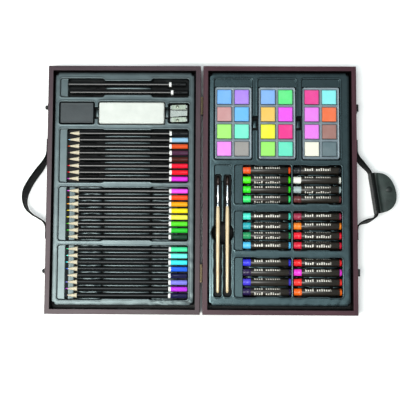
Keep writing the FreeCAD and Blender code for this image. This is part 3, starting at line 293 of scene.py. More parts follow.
def shaded_pocket_sheet(name):
    # The same sheet as painted shade in the deep pockets: a near-black, dull copy standing in for the
    # shade down there, with the mould's fine pebble, half a millimetre across
    material, tree = blank(name)
    pebble = mottled(tree, 0.5, Detail=2.0)
    tone = toned(tree, pebble, "020303", "060808")
    return surfaced(material, tone, pebble, 0.2, 0.1, (pebble, 0.36, 0.5),
                    {"IOR": 1.59, "Specular IOR Level": 0.1})


def worked_metal(name, dark, light, low, high, stretch=None):
    # Pressed, drawn or cast metal: small changes of tone and polish a millimetre or two across
    material, tree = blank(name)
    wear = mottled(tree, 1.6, stretch, Detail=4.0, Roughness=0.6)
    return surfaced(material, toned(tree, wear, dark, light), wear, 0.15, 0.06, (wear, low, high),
                    {"Metallic": 1.0})


def black_paint(name):
    # Stove enamel on pressed steel: near black, soft gloss, a slight orange peel
    material, tree = blank(name)
    peel = mottled(tree, 0.8, Detail=3.0)
    tone = toned(tree, peel, "050606", "0D0E0F")
    return surfaced(material, tone, peel, 0.2, 0.08, 0.34, {"Specular IOR Level": 0.3})


def woven_nylon(name):
    # Nylon webbing: ribs every 1.2 mm along the strap crossed by cords every 1.6 mm, with a dull sheen
    # on their crowns
    material, tree = blank(name)
    strap = add(tree, "ShaderNodeUVMap", uv_map="strap")
    waves = []
    for axis, pitch in (("X", 1.2), ("Y", 1.6)):
        place = add(tree, "ShaderNodeSeparateXYZ", {0: strap}, axis)
        place = add(tree, "ShaderNodeMath", {0: place, 1: 2 * math.pi / pitch}, operation="MULTIPLY")
        waves.append(add(tree, "ShaderNodeMath", {0: place}, operation="SINE"))
    weave = add(tree, "ShaderNodeMath", dict(enumerate(waves)), operation="MULTIPLY")
    tone = toned(tree, weave, "020303", "080909", -1.0, 1.0)
    return surfaced(material, tone, weave, 0.6, 0.2, 0.6, {"Specular IOR Level": 0.12})


def leathercloth(name, dark, light, level):
    # PVC leathercloth: pebble grain 1 mm across pressed into black vinyl, creased softly, low shine;
    # blacker and duller copies of it paint the shade on the fold at the spine
    material, tree = blank(name)
    spot = add(tree, "ShaderNodeTexCoord", out="Object")
    grain = add(tree, "ShaderNodeTexVoronoi", {"Vector": spot, "Scale": 1000 / 1.0}, feature="F1")
    crease = mottled(tree, 9, Detail=3.0)
    gloss = add(tree, "ShaderNodeMapRange",
                {"Value": grain, "From Max": 0.7, "To Min": 0.3, "To Max": 0.42})
    height = add(tree, "ShaderNodeMath", {0: crease, 1: 3.0, 2: grain}, operation="MULTIPLY_ADD")
    return surfaced(material, toned(tree, crease, dark, light), height, 0.4, 0.25, gloss,
                    {"Specular IOR Level": level})


def lacquered_pencil(name, sharpened, ring_at):
    # Cedar pencil under black gloss lacquer, with a white ring, a dipped coloured end and, once sharpened,
    # bare pale wood with a wavy edge where the lacquer was cut
    material, tree = blank(name)
    along = add(tree, "ShaderNodeAttribute", out="Fac", attribute_name="along")
    tint = add(tree, "ShaderNodeAttribute", out="Color", attribute_name="tint")
    grain = mottled(tree, 0.5, (0.1, 1, 1), Detail=4.0)
    speck = mottled(tree, 0.7, Detail=2.0)
    tone = toned(tree, speck, "020303", "060708")
    gloss = add(tree, "ShaderNodeMapRange",
                {"Value": speck, "From Min": 0.3, "From Max": 0.7, "To Min": 0.03, "To Max": 0.08})
    if sharpened:
        wood = toned(tree, grain, "D8D0B8", "B4A88C")
        edge = add(tree, "ShaderNodeMath", {0: speck, 1: 1.6, 2: along}, operation="MULTIPLY_ADD")
        cut = add(tree, "ShaderNodeMath", {0: edge, 1: CONE_LENGTH + 0.2}, operation="LESS_THAN")
        tone = add(tree, "ShaderNodeMix", {0: cut, 6: tone, 7: wood}, 2, data_type="RGBA")
        gloss = add(tree, "ShaderNodeMix", {0: cut, 2: gloss, 3: 0.6})
        tone = painted(tree, tone, tint, along, "LESS_THAN", LEAD_LENGTH)
    tone = painted(tree, tone, linear("F4F4F0"), along, "GREATER_THAN", ring_at)
    tone = painted(tree, tone, tint, along, "GREATER_THAN", ring_at + RING_WIDTH)
    return surfaced(material, tone, grain, 0.06, 0.1, gloss, {"Specular IOR Level": 0.42})


# Where a pastel's sleeve and its print begin and end along the stick, and the print's rows of bars
SLEEVE = (11.0, 66.0)
PRINT = (16.5, 53.5)
PRINT_SPACE = (29.4, 32.6)
BAR_PITCH = 3.3
BAR_WIDTH = 1.8
TALL_WIDTH = 4.5
BAR_HEIGHTS = (2.9, 4.3)
BAR_ROW = 8.64


def sleeved_pastel(name):
    # Oil pastel: waxy scuffed stick in a coated brown-black paper sleeve, printed with rows of pale bars
    material, tree = blank(name)
    along = add(tree, "ShaderNodeAttribute", out="Fac", attribute_name="along")
    around = add(tree, "ShaderNodeAttribute", out="Fac", attribute_name="around")
    tint = add(tree, "ShaderNodeAttribute", out="Color", attribute_name="tint")
    scuff = mottled(tree, 2.0, Detail=4.0, Roughness=0.65)
    wax = toned(tree, scuff, tint, "F4F0E8", 0.55, 0.8, 0.25)
    paper = toned(tree, scuff, "1A1712", "2C261E")
    tall = striped(tree, along, 4 * BAR_PITCH, TALL_WIDTH)
    reach = add(tree, "ShaderNodeMapRange",
                {"Value": tall, "To Min": BAR_HEIGHTS[0], "To Max": BAR_HEIGHTS[1]})
    row = striped(tree, around, BAR_ROW, reach)
    half = add(tree, "ShaderNodeMath", {0: around, 1: 2 * BAR_ROW}, operation="LESS_THAN")
    sleeve, printed, space = [
        add(tree, "ShaderNodeMath", {0: along, 1: (a + b) / 2, 2: (b - a) / 2}, operation="COMPARE")
        for a, b in (SLEEVE, PRINT, PRINT_SPACE)]
    marks = striped(tree, along, BAR_PITCH, BAR_WIDTH)
    for share in (row, half, printed):
        marks = add(tree, "ShaderNodeMath", {0: marks, 1: share}, operation="MULTIPLY")
    marks = add(tree, "ShaderNodeMath", {0: marks, 1: space}, operation="SUBTRACT", use_clamp=True)
    paper = add(tree, "ShaderNodeMix", {0: marks, 6: paper, 7: linear("E6E2D6")}, 2, data_type="RGBA")
    tone = add(tree, "ShaderNodeMix", {0: sleeve, 6: wax, 7: paper}, 2, data_type="RGBA")
    return surfaced(material, tone, scuff, 0.12, 0.2, (scuff, 0.3, 0.42))


def pressed_paint(name):
    # Pressed watercolour cake: chalky, nearly even, with the grit of the press
    material, tree = blank(name)
    tint = add(tree, "ShaderNodeAttribute", out="Color", attribute_name="tint")
    tone = toned(tree, mottled(tree, 14, Detail=3.0), tint, "FFFFFF", 0.4, 0.75, 0.05)
    return surfaced(material, tone, mottled(tree, 0.6, Detail=2.0), 0.2, 0.15, 0.6)


def moulded_styrene(name):
    # Injection-moulded grey polystyrene: even colour, faint flow marks, bright gloss on its rims
    material, tree = blank(name)
    flow = mottled(tree, 16, Detail=3.0, Distortion=1.0)
    tone = toned(tree, flow, "64727A", "78868D")
    return surfaced(material, tone, flow, 0.2, 0.3, (flow, 0.08, 0.15),
                    {"IOR": 1.59, "Specular IOR Level": 0.8})


def eraser_rubber(name, low, high, rough):
    # Vinyl or rubber block: smudges a finger wide, small pits from its mould, matt to satin skin
    material, tree = blank(name)
    smudge = mottled(tree, 15, Detail=4.0, Roughness=0.6)
    pits = mottled(tree, 1.6, Detail=3.0)
    height = add(tree, "ShaderNodeMath", {0: smudge, 1: 2.0, 2: pits}, operation="MULTIPLY_ADD")
    return surfaced(material, toned(tree, smudge, low, high, 0.3, 0.75), height, 0.35, 0.25, rough)


def varnished_birch(name):
    # Turned birch under clear varnish: pale, long faint streaks 1 mm wide, a soft shine
    material, tree = blank(name)
    streaks = mottled(tree, 1.0, (1, 0.05, 1), Detail=4.0)
    tone = toned(tree, streaks, "E4D6B4", "CAAE7E")
    return surfaced(material, tone, streaks, 0.1, 0.1, 0.3, {"Coat Weight": 0.4, "Coat Roughness": 0.12})


def pony_hair(name):
    # Dark hair: fine streaks along the strands, brown where light passes through
    material, tree = blank(name)
    strands = mottled(tree, 0.35, (1, 0.06, 1), Detail=3.0)
    return surfaced(material, toned(tree, strands, "0E0908", "38241E"), strands, 0.4, 0.1, 0.36)


ALONG_X = (0.05, 1, 1)
ALONG_Y = (1, 0.05, 1)
# The middle of each half in metres, which the painted shade on inward faces is measured from, and its stain:
# dark, light and pore
STAINS = {"left": ((0.0, 0.0, 0.0), "37242B", "4A353C", "26171D"),
          "right": ((0.2275, 0.0, 0.0), "3C1D26", "502C36", "260F17")}
BOARDS = {"rails": (ALONG_X, "back_rail", "front_rail"), "stiles": (ALONG_Y, "outer_stile", "hinge_stile")}
finishes = {
    "panel": stained_plywood("stained_plywood"),
    "left_sheet": drawn_sheet("drawn_polystyrene_left", "E4FCFF", 1.0, 0.36, 0.44),
    "right_sheet": drawn_sheet("drawn_polystyrene_right", "D0F8FF", 0.72, 0.24, 0.32),
    # Painted shade: the near-black, dull copy of the sheet for the deep pockets
    "deep_shade": shaded_pocket_sheet("polystyrene_pocket_shade"),
    "brass": worked_metal("rolled_brass", "544A38", "746852", 0.36, 0.5),
    "alloy": worked_metal("cast_alloy", "6C6E6A", "94968F", 0.22, 0.34),
    "blade": worked_metal("ground_blade_steel", "686C60", "8E9284", 0.16, 0.26, (1, 0.1, 1)),
    "ferrule": worked_metal("plated_ferrule", "B4B6B8", "DCDEE0", 0.1, 0.2),
    "enamel": black_paint("black_enamel"),
    "webbing": woven_nylon("woven_nylon"),
    "leathercloth": leathercloth("leathercloth", "1A2420", "2B3833", 0.5),
    # Painted shade: a blacker, duller copy of the cloth for the fold at the spine
    "fold_shade_cloth": leathercloth("leathercloth_fold_shade", "050807", "0C100E", 0.12),
    # Painted shade: a darker copy of the cloth for the snap's dome, standing in for the shade on its bulge
    "snap_shade_cloth": leathercloth("leathercloth_dome_shade", "101715", "1C2522", 0.35),
    "pencil": lacquered_pencil("lacquered_pencil", True, PENCIL_RING),
    "graphite": lacquered_pencil("lacquered_graphite_pencil", False, GRAPHITE_RING),
    "pastel": sleeved_pastel("sleeved_pastel"),
    "paint": pressed_paint("pressed_paint"),
    "palette": moulded_styrene("moulded_polystyrene"),
    "white_vinyl": eraser_rubber("white_vinyl", "CACEC7", "D6D9D2", 0.6),
    "dark_rubber": eraser_rubber("dark_rubber", "131A1C", "1D2628", 0.34),
    "birch": varnished_birch("varnished_birch"),
    "hair": pony_hair("pony_hair"),
}

carried = {
    "panel": ("left_base_panel", "right_base_panel"),
    "brass": ("left_hinge_leaves", "right_hinge_leaves", "hinge_pins"),
    "enamel": ("strike_plates", "latch_studs", "hasp_plates", "hasp_pins", "back_hasp", "front_hasp",
               "snap_stud"),
    "alloy": ("sharpener_body",),
    "blade": ("sharpener_blades",),
}
for half, stain in STAINS.items():
    for boards, (stretch, *ends) in BOARDS.items():
        finish = f"{half}_{boards}"
        finishes[finish] = stained_poplar(f"stained_poplar_{finish}", stretch, *stain)
        carried[finish] = [f"{half}_{end}" for end in ends]
for finish, names in carried.items():
    for node in names:
        slots = nodes[node].data.materials
        slots.clear()
        slots.append(finishes[finish])


# Making pieces

def placed(name, data):
    """A new object in the scene with the given data."""
    thing = bpy.data.objects.new(name, data)
    bpy.context.scene.collection.objects.link(thing)
    return thing


def quads(rows, columns, closed=False):
    """Faces between neighbouring rows of points. In a closed row the last point meets the first."""
    return [(i * columns + k, i * columns + (k + 1) % columns,
             (i + 1) * columns + (k + 1) % columns, (i + 1) * columns + k)
            for i in range(rows - 1) for k in range(columns if closed else columns - 1)]


def new_piece(name, points, faces, material):
    """A smooth mesh object from points in millimetres."""
    mesh = bpy.data.meshes.new(name)
    mesh.from_pydata([Vector(p) * MM for p in points], [], faces)
    mesh.polygons.foreach_set("use_smooth", [True] * len(mesh.polygons))
    mesh.materials.append(material)
    return placed(name, mesh)


def settle(piece, body, slot, *stands_for):
    """Sets a piece on its body and hides the nodes it stands for. Its slot is not used."""
    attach(piece, body)
    if stands_for:
        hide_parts(*stands_for)


def evaluated_mesh(thing):
    """The plain mesh that an object gives with its curve or its modifiers worked out."""
    graph = bpy.context.evaluated_depsgraph_get()
    return bpy.data.meshes.new_from_object(thing.evaluated_get(graph))


def baked(piece):
    """The piece with its modifiers turned into plain mesh."""
    mesh = evaluated_mesh(piece)
    piece.modifiers.clear()
    piece.data = mesh
    return piece


def face_outward(piece):
    """Turns every face of a closed piece outward and joins its doubled points."""
    tidy = bmesh.new()
    tidy.from_mesh(piece.data)
    bmesh.ops.remove_doubles(tidy, verts=tidy.verts, dist=1e-6)
    bmesh.ops.recalc_face_normals(tidy, faces=tidy.faces)
    tidy.to_mesh(piece.data)
    tidy.free()


def node_mm(node):
    """A node's extents in millimetres: x0, x1, y0, y1, z0, z1."""
    low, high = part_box(node)
    return [v / MM for pair in zip(low, high) for v in pair]


# Moulded sheets: trays and palettes are surfaces pressed down inside rounded outlines

def outside(x, y, rect, corner, waist=0.0):
    """How far a point lies outside a rounded rectangle, whose long sides may step in by a waist."""
    x0, x1, y0, y1 = rect
    dx = np.abs(x - (x0 + x1) / 2) - ((x1 - x0) / 2 - corner)
    dy = np.abs(y - (y0 + y1) / 2) - ((y1 - y0) / 2 - waist - corner)
    return np.hypot(np.maximum(dx, 0), np.maximum(dy, 0)) + np.minimum(np.maximum(dx, dy), 0) - corner


def waist_at(x, span, depth):
    """The waist's step along a pocket, with smooth shoulders."""
    rise = np.clip((x - span[0] + WAIST_SLOPE) / WAIST_SLOPE, 0, 1)
    fall = np.clip((span[1] + WAIST_SLOPE - x) / WAIST_SLOPE, 0, 1)
    share = np.minimum(rise, fall)
    return depth * share * share * (3 - 2 * share)


def beaded(height, distance):
    """The sheet with a low bead just outside an outline."""
    return np.minimum(height + BEAD * np.exp(-((distance - BEAD_OFF) / BEAD_WIDTH) ** 2), DECK)


def pressed(height, distance, floor, top=DECK, lip=1.2, run=0.4):
    """The sheet pressed down inside an outline: a rounded lip outside it, a steep wall, a flat floor."""
    steps = np.array([0.0, 0.15, 0.35, 0.6, 1.0]) * lip
    drops = lip - np.sqrt(np.maximum(lip ** 2 - (lip - steps) ** 2, 0))
    return np.minimum(height, np.interp(distance, [-run, *steps], [floor, *(top - drops)]))


def grid_lines(low, high, edges, extra, step):
    """Grid lines over a span: close together at the edges of pockets, wider elsewhere. A line too near one
    that is already there is left out."""
    lines = [edge + o for o in EDGE_OFFSETS for edge in edges]
    lines += [*extra, *np.linspace(low, high, int((high - low) / step) + 1)]
    kept = [low, high]
    for line in lines:
        if low < line < high and np.min(np.abs(np.array(kept) - line)) > NEAREST_LINE:
            kept.append(line)
    return np.array(sorted(kept))


def moulded_block(name, xs, ys, heights, bottom, material, deep_shade=None):
    """A closed block whose upper side has the given height at every crossing of the grid lines. Where
    every corner of a face lies in deep_shade, it takes the near-black, dull sheet that paints the shade."""
    nx, ny = len(xs), len(ys)
    grid_x, grid_y = np.meshgrid(xs, ys)
    top = np.stack([grid_x, grid_y, heights], -1).reshape(-1, 3)
    rim = [*range(nx), *[j * nx + nx - 1 for j in range(1, ny)],
           *[(ny - 1) * nx + i for i in range(nx - 2, -1, -1)], *[j * nx for j in range(ny - 2, 0, -1)]]
    count = len(rim)
    base = len(top)
    low = [(top[i][0], top[i][1], bottom) for i in rim]
    faces = quads(ny, nx)
    faces += [(rim[k], base + k, base + (k + 1) % count, rim[(k + 1) % count]) for k in range(count)]
    faces.append(tuple(base + k for k in reversed(range(count))))
    block = new_piece(name, [*map(tuple, top), *low], faces, material)
    if deep_shade is not None:
        block.data.materials.append(finishes["deep_shade"])
        # Faces wholly in the deep pockets' shade take the painted-shade sheet
        dull = deep_shade[:-1, :-1] & deep_shade[:-1, 1:] & deep_shade[1:, :-1] & deep_shade[1:, 1:]
        kinds = np.concatenate([dull.ravel(), np.zeros(count + 1, bool)]).astype(np.int32)
        block.data.polygons.foreach_set("material_index", kinds)
    return block


def ripple(x, y, waves, seed, shortest, longest):
    """Smooth uneven waves, mostly between -1 and 1."""
    random = np.random.RandomState(seed)
    total = np.zeros_like(x)
    for _ in range(waves):
        turn = random.uniform(0, 2 * math.pi)
        length = random.uniform(shortest, longest)
        phase = random.uniform(0, 2 * math.pi)
        total += np.sin((x * math.cos(turn) + y * math.sin(turn)) * 2 * math.pi / length + phase)
    return total / math.sqrt(waves) / 1.2


def dips(depth, *wave):
    """Uneven dips down to about a depth, with level stretches between them."""
    return depth * np.minimum(ripple(*wave), 0)


def cradle(x, y, axes, axis_z, radius, span, crest, crown):
    """A rib across a pocket, its crests rounded between the grooves and falling off towards its ends."""
    along = np.clip((x - span[0]) / (span[1] - span[0]), 0, 1)
    swell = 1 - np.abs(2 * along - 1) ** 4
    pitch = axes[1] - axes[0]
    off = (y - axes[0]) % pitch
    off = np.minimum(off, pitch - off)
    bow = (pitch / 2 - off) ** 2 / (2 * crown * (0.25 + 0.75 * swell))
    ridge = axis_z + crest - RIB_END_FALL * (1 - swell) - bow
    groove = axis_z - np.sqrt(np.maximum((radius + GROOVE_GAP) ** 2 - off ** 2, 0)) - SLIVER
    rib = np.where(off < radius + GROOVE_GAP, np.minimum(ridge, groove), ridge)
    return np.where((x >= span[0]) & (x <= span[1]), rib, ABSENT)


def rounds_pocket(x, y, height, rect, shelf_from, floor, waist, span, ribs):
    """A pocket for round pieces: a shallow shelf, a deep waisted pocket and the ribs across it."""
    distance = outside(x, y, rect, POCKET_CORNER, waist_at(x, span, waist))
    if shelf_from < rect[0]:
        shelf = outside(x, y, (shelf_from, span[0] - 2 * WAIST_SLOPE, rect[2], rect[3]), POCKET_CORNER)
        height = pressed(beaded(height, np.minimum(distance, shelf)), shelf, SHELF)
    else:
        height = beaded(height, distance)
    height = pressed(height, distance, floor)
    for rib in ribs:
        height = np.where(distance < -SLIVER, np.maximum(height, rib), height)
    return height


def finger_notch(x, y, height, rect):
    """The sheet with a finger notch and a small knob on its floor, and where the knob is."""
    height = pressed(height, outside(x, y, rect, NOTCH_CORNER), NOTCH_FLOOR)
    share = np.hypot(x - (rect[0] + rect[1]) / 2, y - (rect[2] + rect[3]) / 2) / KNOB_RADIUS
    knob = NOTCH_FLOOR + KNOB_RADIUS * np.sqrt(np.maximum(1 - share ** 2, 0))
    return np.where(share < 1, np.maximum(height, knob), height), share < 1


def tray_deck(node, edges_x, edges_y, extra_x, extra_y, seed, crease):
    """A tray's grid lines and its bare deck: turned-down edge, creases towards the front and one side."""
    x0, x1, y0, y1, _, _ = node_mm(node)
    xs = grid_lines(x0, x1, [x0, x1, x0 + TRAY_CORNER, x1 - TRAY_CORNER, *edges_x], extra_x, DECK_STEP)
    ys = grid_lines(y0, y1, [y0, y1, y0 + TRAY_CORNER, y1 - TRAY_CORNER, *edges_y], extra_y, DECK_STEP)
    x, y = np.meshgrid(xs, ys)
    across = np.clip((x - x0) / (x1 - x0) - 0.3, 0.05, 0.5)
    front = np.clip(1 - (y - y0) / FRONT_CREASE, 0, 1) * across
    side = np.clip(1 - (x1 - x) / SIDE_CREASE[0], 0, 1) * np.clip(1 - (y - y0) / SIDE_CREASE[1], 0, 1)
    crinkle = (CRINKLE + crease * (front + 0.4 * side)) * ripple(x, y, 9, seed, *CREASE_LENGTHS)
    height = DECK - BEAD - SLIVER + np.minimum(crinkle, CRINKLE_TOP)
    edge = outside(x, y, (x0, x1, y0, y1), TRAY_CORNER)
    drop = np.interp(edge, [-2.4, -1.5, -0.9, -0.5, -0.3, -0.05],
                     [0, 0.18, 0.55, 1.1, 1.8, DECK - PANEL_TOP - 0.4])
    return xs, ys, x, y, height - drop


def finish_tray(half, xs, ys, height, thick):
    """The tray's block: near black and dull, as painted shade, where it lies low, save on the knobs and rib
    crests that thick marks.
    """
    dull = (height < POCKET_SHADE_BELOW) & ~thick
    tray = moulded_block(f"{half}_moulded_tray", xs, ys, height, PANEL_TOP + 0.1, finishes[f"{half}_sheet"],
                         dull)
    settle(tray, f"{half}_half", "tray_plastic", f"{half}_tray")


def row_axes(node, radius, pitch):
    """Where the round pieces of a node lie across their row, front to back."""
    _, _, y0, y1, _, _ = node_mm(node)
    count = round((y1 - y0 - 2 * radius) / pitch) + 1
    return [y0 + radius + i * pitch for i in range(count)]


def row_pocket(node, radius, pitch, margin, x0, x1):
    """A row's axes, its pocket's outline and waist, and grid lines for its edges, grooves and crests."""
    axes = row_axes(node, radius, pitch)
    reach = radius + margin
    waist = margin - WAIST_CLEAR
    rect = (x0, x1, axes[0] - reach, axes[-1] + reach)
    edges = [rect[2], rect[3], rect[2] + waist, rect[3] - waist]
    offsets = [0.0, pitch / 2]
    for ease in (0.4, 0.9):
        offsets += [pitch / 2 - ease, ease - pitch / 2]
    for share in (0.6, 0.95):
        offsets += [share * radius, -share * radius]
    return axes, rect, waist, edges, [axis + o for axis in axes for o in offsets]


def make_left_tray():
    ledge_x = [ROW_DEEP + run for run in TIP_LEDGE]
    blocks = []
    for node, room in BLOCK_ROOM.items():
        x0, x1, y0, y1, z0, _ = node_mm(node)
        blocks.append(((x0 - room, x1 + room, y0 - room, y1 + room), z0 - SLIVER))
    notches = []
    for (before, _), (after, _) in zip(blocks, blocks[1:]):
        middle = (before[2] + before[3]) / 2
        notches.append((before[1] - NOTCH_BITE, after[0] + NOTCH_BITE,
                        middle - NOTCH_HALF, middle + NOTCH_HALF))
    edges_x = [*ROW_ENDS, ROW_DEEP, *ROW_WAIST]
    edges_y = []
    for rect in [rect for rect, _ in blocks] + notches:
        edges_x += rect[:2]
        edges_y += rect[2:]
    extra_x = [w + o for w in ROW_WAIST for o in WAIST_LINES]
    extra_x += [e + o for e in ledge_x for o in (-0.2, 0.2)]
    extra_x += [e for span in LOW_RIBS for e in np.arange(*span, RIB_STEP)]
    extra_y = []
    pockets = []
    for node, crest in LOW_CRESTS.items():
        graphite = node == "graphite_pencils"
        pitch = GRAPHITE_PITCH if graphite else ROW_PITCH
        margin = GRAPHITE_MARGIN if graphite else ROW_MARGIN
        axes, rect, waist, edges, grooves = row_pocket(node, PENCIL_RADIUS, pitch, margin, ROW_DEEP,
                                                       ROW_ENDS[1])
        pockets.append((rect, axes, waist, crest, node in LEDGED_ROWS))
        edges_y += edges
        extra_y += grooves
    xs, ys, x, y, height = tray_deck("left_tray", edges_x, edges_y, extra_x, extra_y, 11, 1.0)
    for rect, floor in blocks:
        distance = outside(x, y, rect, POCKET_CORNER)
        height = pressed(beaded(height, distance), distance, floor)
    # thick marks the knobs and rib crests, which keep the glossy sheet, out of the painted shade
    thick = np.zeros_like(x, dtype=bool)
    for rect in notches:
        height, knob = finger_notch(x, y, height, rect)
        thick |= knob
    for k, (rect, axes, waist, crest, ledged) in enumerate(pockets):
        across = (x, y, axes, PENCIL_AXIS, PENCIL_RADIUS)
        ribs = [cradle(*across, ROW_WAIST, PENCIL_CREST, PENCIL_CROWN)]
        for span in LOW_RIBS:
            low = cradle(*across, span, crest, PENCIL_CROWN)
            ribs.append(low + dips(LOW_RIB_DIP, x, 2 * y, 5, 3 + k, 16, 40))
        if ledged:
            ledge = np.interp(x, ledge_x, LEDGE_FALL)
            ribs.append(np.where((x > ledge_x[0]) & (x < ledge_x[1]), ledge, ABSENT))
        height = rounds_pocket(x, y, height, rect, ROW_ENDS[0], PENCIL_FLOOR, waist, ROW_WAIST, ribs)
        for rib in ribs:
            thick |= (height == rib) & (rib > PENCIL_FLOOR + 1.2)
    finish_tray("left", xs, ys, height, thick)


def make_right_tray():
    front, back, shelf_end = PALETTE_ENDS
    notch_ends = [(front + back) / 2 + way * PALETTE_NOTCH for way in (-1, 1)]
    edges_x = [e for pair in PALETTE_POCKETS for e in pair]
    edges_x += [a + way * BRUSH_CHANNEL for a in BRUSH_AXES for way in (-1, 1)]
    edges_x += [e + way * NOTCH_BITE for pair in PALETTE_POCKETS for e, way in zip(pair, (1, -1))]
    edges_y = [*PALETTE_ENDS, *BRUSH_ENDS, *BRUSH_SHELF[2:], *notch_ends]
    well_x, well_y, well_radius = BRUSH_WELL
    well_reach = well_radius + 1
    extra_x = list(np.arange(well_x - well_reach, well_x + well_reach, WELL_STEP))
    extra_y = list(np.arange(well_y - well_reach, well_y + well_reach, WELL_STEP))
    extra_y += list(np.arange(*BRUSH_ENDS, BRUSH_STEP))
    pockets = []
    for side, (shelf_from, deep, end) in PASTEL_COLUMNS.items():
        span = (deep + PASTEL_RIB[0], deep + PASTEL_RIB[1])
        edges_x += [shelf_from, deep, end]
        extra_x += [s + o for s in span for o in WAIST_LINES]
        extra_x += list(np.arange(deep, end, RIB_STEP))
        for i in (1, 2, 3):
            axes, rect, waist, edges, grooves = row_pocket(f"pastels_{side}_{i}", PASTEL_RADIUS, PASTEL_PITCH,
                                                           PASTEL_MARGIN, deep, end)
            pockets.append((rect, shelf_from, axes, waist, span))
            if side == "left":
                edges_y += edges
                extra_y += grooves
    xs, ys, x, y, height = tray_deck("right_tray", edges_x, edges_y, extra_x, extra_y, 23, 0.35)
    # thick marks the knobs and rib crests, which keep the glossy sheet, out of the painted shade
    thick = np.zeros_like(x, dtype=bool)
    for x0, x1 in PALETTE_POCKETS:
        shelf = outside(x, y, (x0, x1, front, shelf_end), POCKET_CORNER)
        deep = outside(x, y, (x0, x1, front, back), POCKET_CORNER)
        height = pressed(beaded(height, shelf), shelf, SHELF)
        height = pressed(height, deep, PALETTE_FLOOR - SLIVER)
    for (_, x1), (x0, _) in zip(PALETTE_POCKETS, PALETTE_POCKETS[1:]):
        height, knob = finger_notch(x, y, height, (x1 - NOTCH_BITE, x0 + NOTCH_BITE, *notch_ends))
        thick |= knob
    shelf = outside(x, y, BRUSH_SHELF, POCKET_CORNER)
    channels = []
    for k, axis in enumerate(BRUSH_AXES):
        rect = (axis - BRUSH_CHANNEL, axis + BRUSH_CHANNEL, *BRUSH_ENDS)
        channels.append(outside(x, y, rect, POCKET_CORNER) + dips(BRUSH_DIP, 0 * x, y, 6, 31 + k, 8, 30))
    height = beaded(height, np.minimum(shelf, np.minimum(*channels)))
    height = pressed(height, shelf, SHELF)
    for channel in channels:
        height = pressed(height, channel, BRUSH_FLOOR)
    radius = np.hypot(x - well_x, y - well_y)
    height = pressed(height, radius - well_radius, NOTCH_FLOOR)
    bowl = NOTCH_FLOOR + BRUSH_WELL_RISE * np.minimum(radius / well_radius, 1) ** 4
    height = np.where(radius < well_radius - 0.4, np.maximum(height, bowl), height)
    for k, (rect, shelf_from, axes, waist, span) in enumerate(pockets):
        across = (x, y, axes, PASTEL_AXIS, PASTEL_RADIUS)
        rib = cradle(*across, span, PASTEL_CREST, PASTEL_CROWN)
        ends = cradle(*across, rect[:2], PASTEL_END_CREST, PASTEL_END_CROWN)
        ends = ends + dips(PASTEL_END_DIP, x, 2 * y, 7, 41 + k, 6, 20)
        height = rounds_pocket(x, y, height, rect, shelf_from, PASTEL_FLOOR, waist, span, [rib, ends])
        thick |= ((height == rib) | (height == ends)) & (height > PASTEL_AXIS)
    finish_tray("right", xs, ys, height, thick)


make_left_tray()
make_right_tray()


# Repeated pieces: geometry nodes set one shape on many points, each with its own tint and turn

def lathe(name, profile, around):
    """A turned shape along X from (along, radius) points; its points know their place on it."""
    widest = max(radius for _, radius in profile)
    points = []
    along = []
    turn = []
    for a, r in profile:
        for k in range(around + 1):
            angle = 2 * math.pi * k / around
            points.append((a, r * math.sin(angle), r * math.cos(angle)))
            along.append(a)
            turn.append(angle * widest)
    faces = [(a, d, c, b) for a, b, c, d in quads(len(profile), around + 1)]
    shape = new_piece(name, points, faces, finishes["enamel"])
    for key, values in (("along", along), ("around", turn)):
        shape.data.attributes.new(key, "FLOAT", "POINT").data.foreach_set("value", values)
    return shape


def copies_tree():
    """Geometry nodes: a copy of one shape on every point, turned by the point's own angles."""
    tree = bpy.data.node_groups.new("copies_on_points", "GeometryNodeTree")
    for name, kind in (("Points", "Geometry"), ("Shape", "Object"), ("Finish", "Material")):
        tree.interface.new_socket(name, in_out="INPUT", socket_type=f"NodeSocket{kind}")
    tree.interface.new_socket("Copies", in_out="OUTPUT", socket_type="NodeSocketGeometry")
    entry = tree.nodes.new("NodeGroupInput").outputs
    shape = add(tree, "GeometryNodeObjectInfo", {"Object": entry["Shape"]}, "Geometry")
    turn = add(tree, "GeometryNodeInputNamedAttribute", {"Name": "turn"}, "Attribute",
               data_type="FLOAT_VECTOR")
    laid = add(tree, "GeometryNodeInstanceOnPoints",
               {"Points": entry["Points"], "Instance": shape, "Rotation": turn})
    real = add(tree, "GeometryNodeRealizeInstances", {"Geometry": laid})
    coated = add(tree, "GeometryNodeSetMaterial", {"Geometry": real, "Material": entry["Finish"]})
    add(tree, "NodeGroupOutput", {"Copies": coated})
    return tree


copies = copies_tree()
inputs = {item.name: item.identifier for item in copies.interface.items_tree if item.in_out == "INPUT"}


def laid_out(name, shape, points, finish, tints=None, turns=None):
    """Copies of a shape at points in millimetres, as one plain mesh."""
    count = len(points)
    mesh = bpy.data.meshes.new(name)
    mesh.from_pydata([Vector(p) * MM for p in points], [], [])
    tint = mesh.attributes.new("tint", "FLOAT_COLOR", "POINT")
    tint.data.foreach_set("color", np.ravel([linear(t) for t in tints or ["FFFFFF"] * count]))
    turn = mesh.attributes.new("turn", "FLOAT_VECTOR", "POINT")
    turn.data.foreach_set("vector", np.ravel(turns or [(0, 0, 0)] * count))
    piece = placed(name, mesh)
    lay = piece.modifiers.new("lay", "NODES")
    lay.node_group = copies
    lay[inputs["Shape"]] = shape
    lay[inputs["Finish"]] = finishes[finish]
    return baked(piece)


def discard(*shapes):
    for shape in shapes:
        bpy.data.objects.remove(shape)


def rounded_end(length, radius, bevel):
    """The profile's last points, which turn the corner at the far end."""
    angles = [math.pi / 8 * k for k in range(5)]
    corner = [(length - bevel + bevel * math.sin(a), radius - bevel + bevel * math.cos(a)) for a in angles]
    return [*corner, (length, 0)]


def rounded_start(radius, bevel):
    """The profile's first points, which turn the corner at the near end."""
    return [(-a, r) for a, r in rounded_end(0, radius, bevel)][::-1]


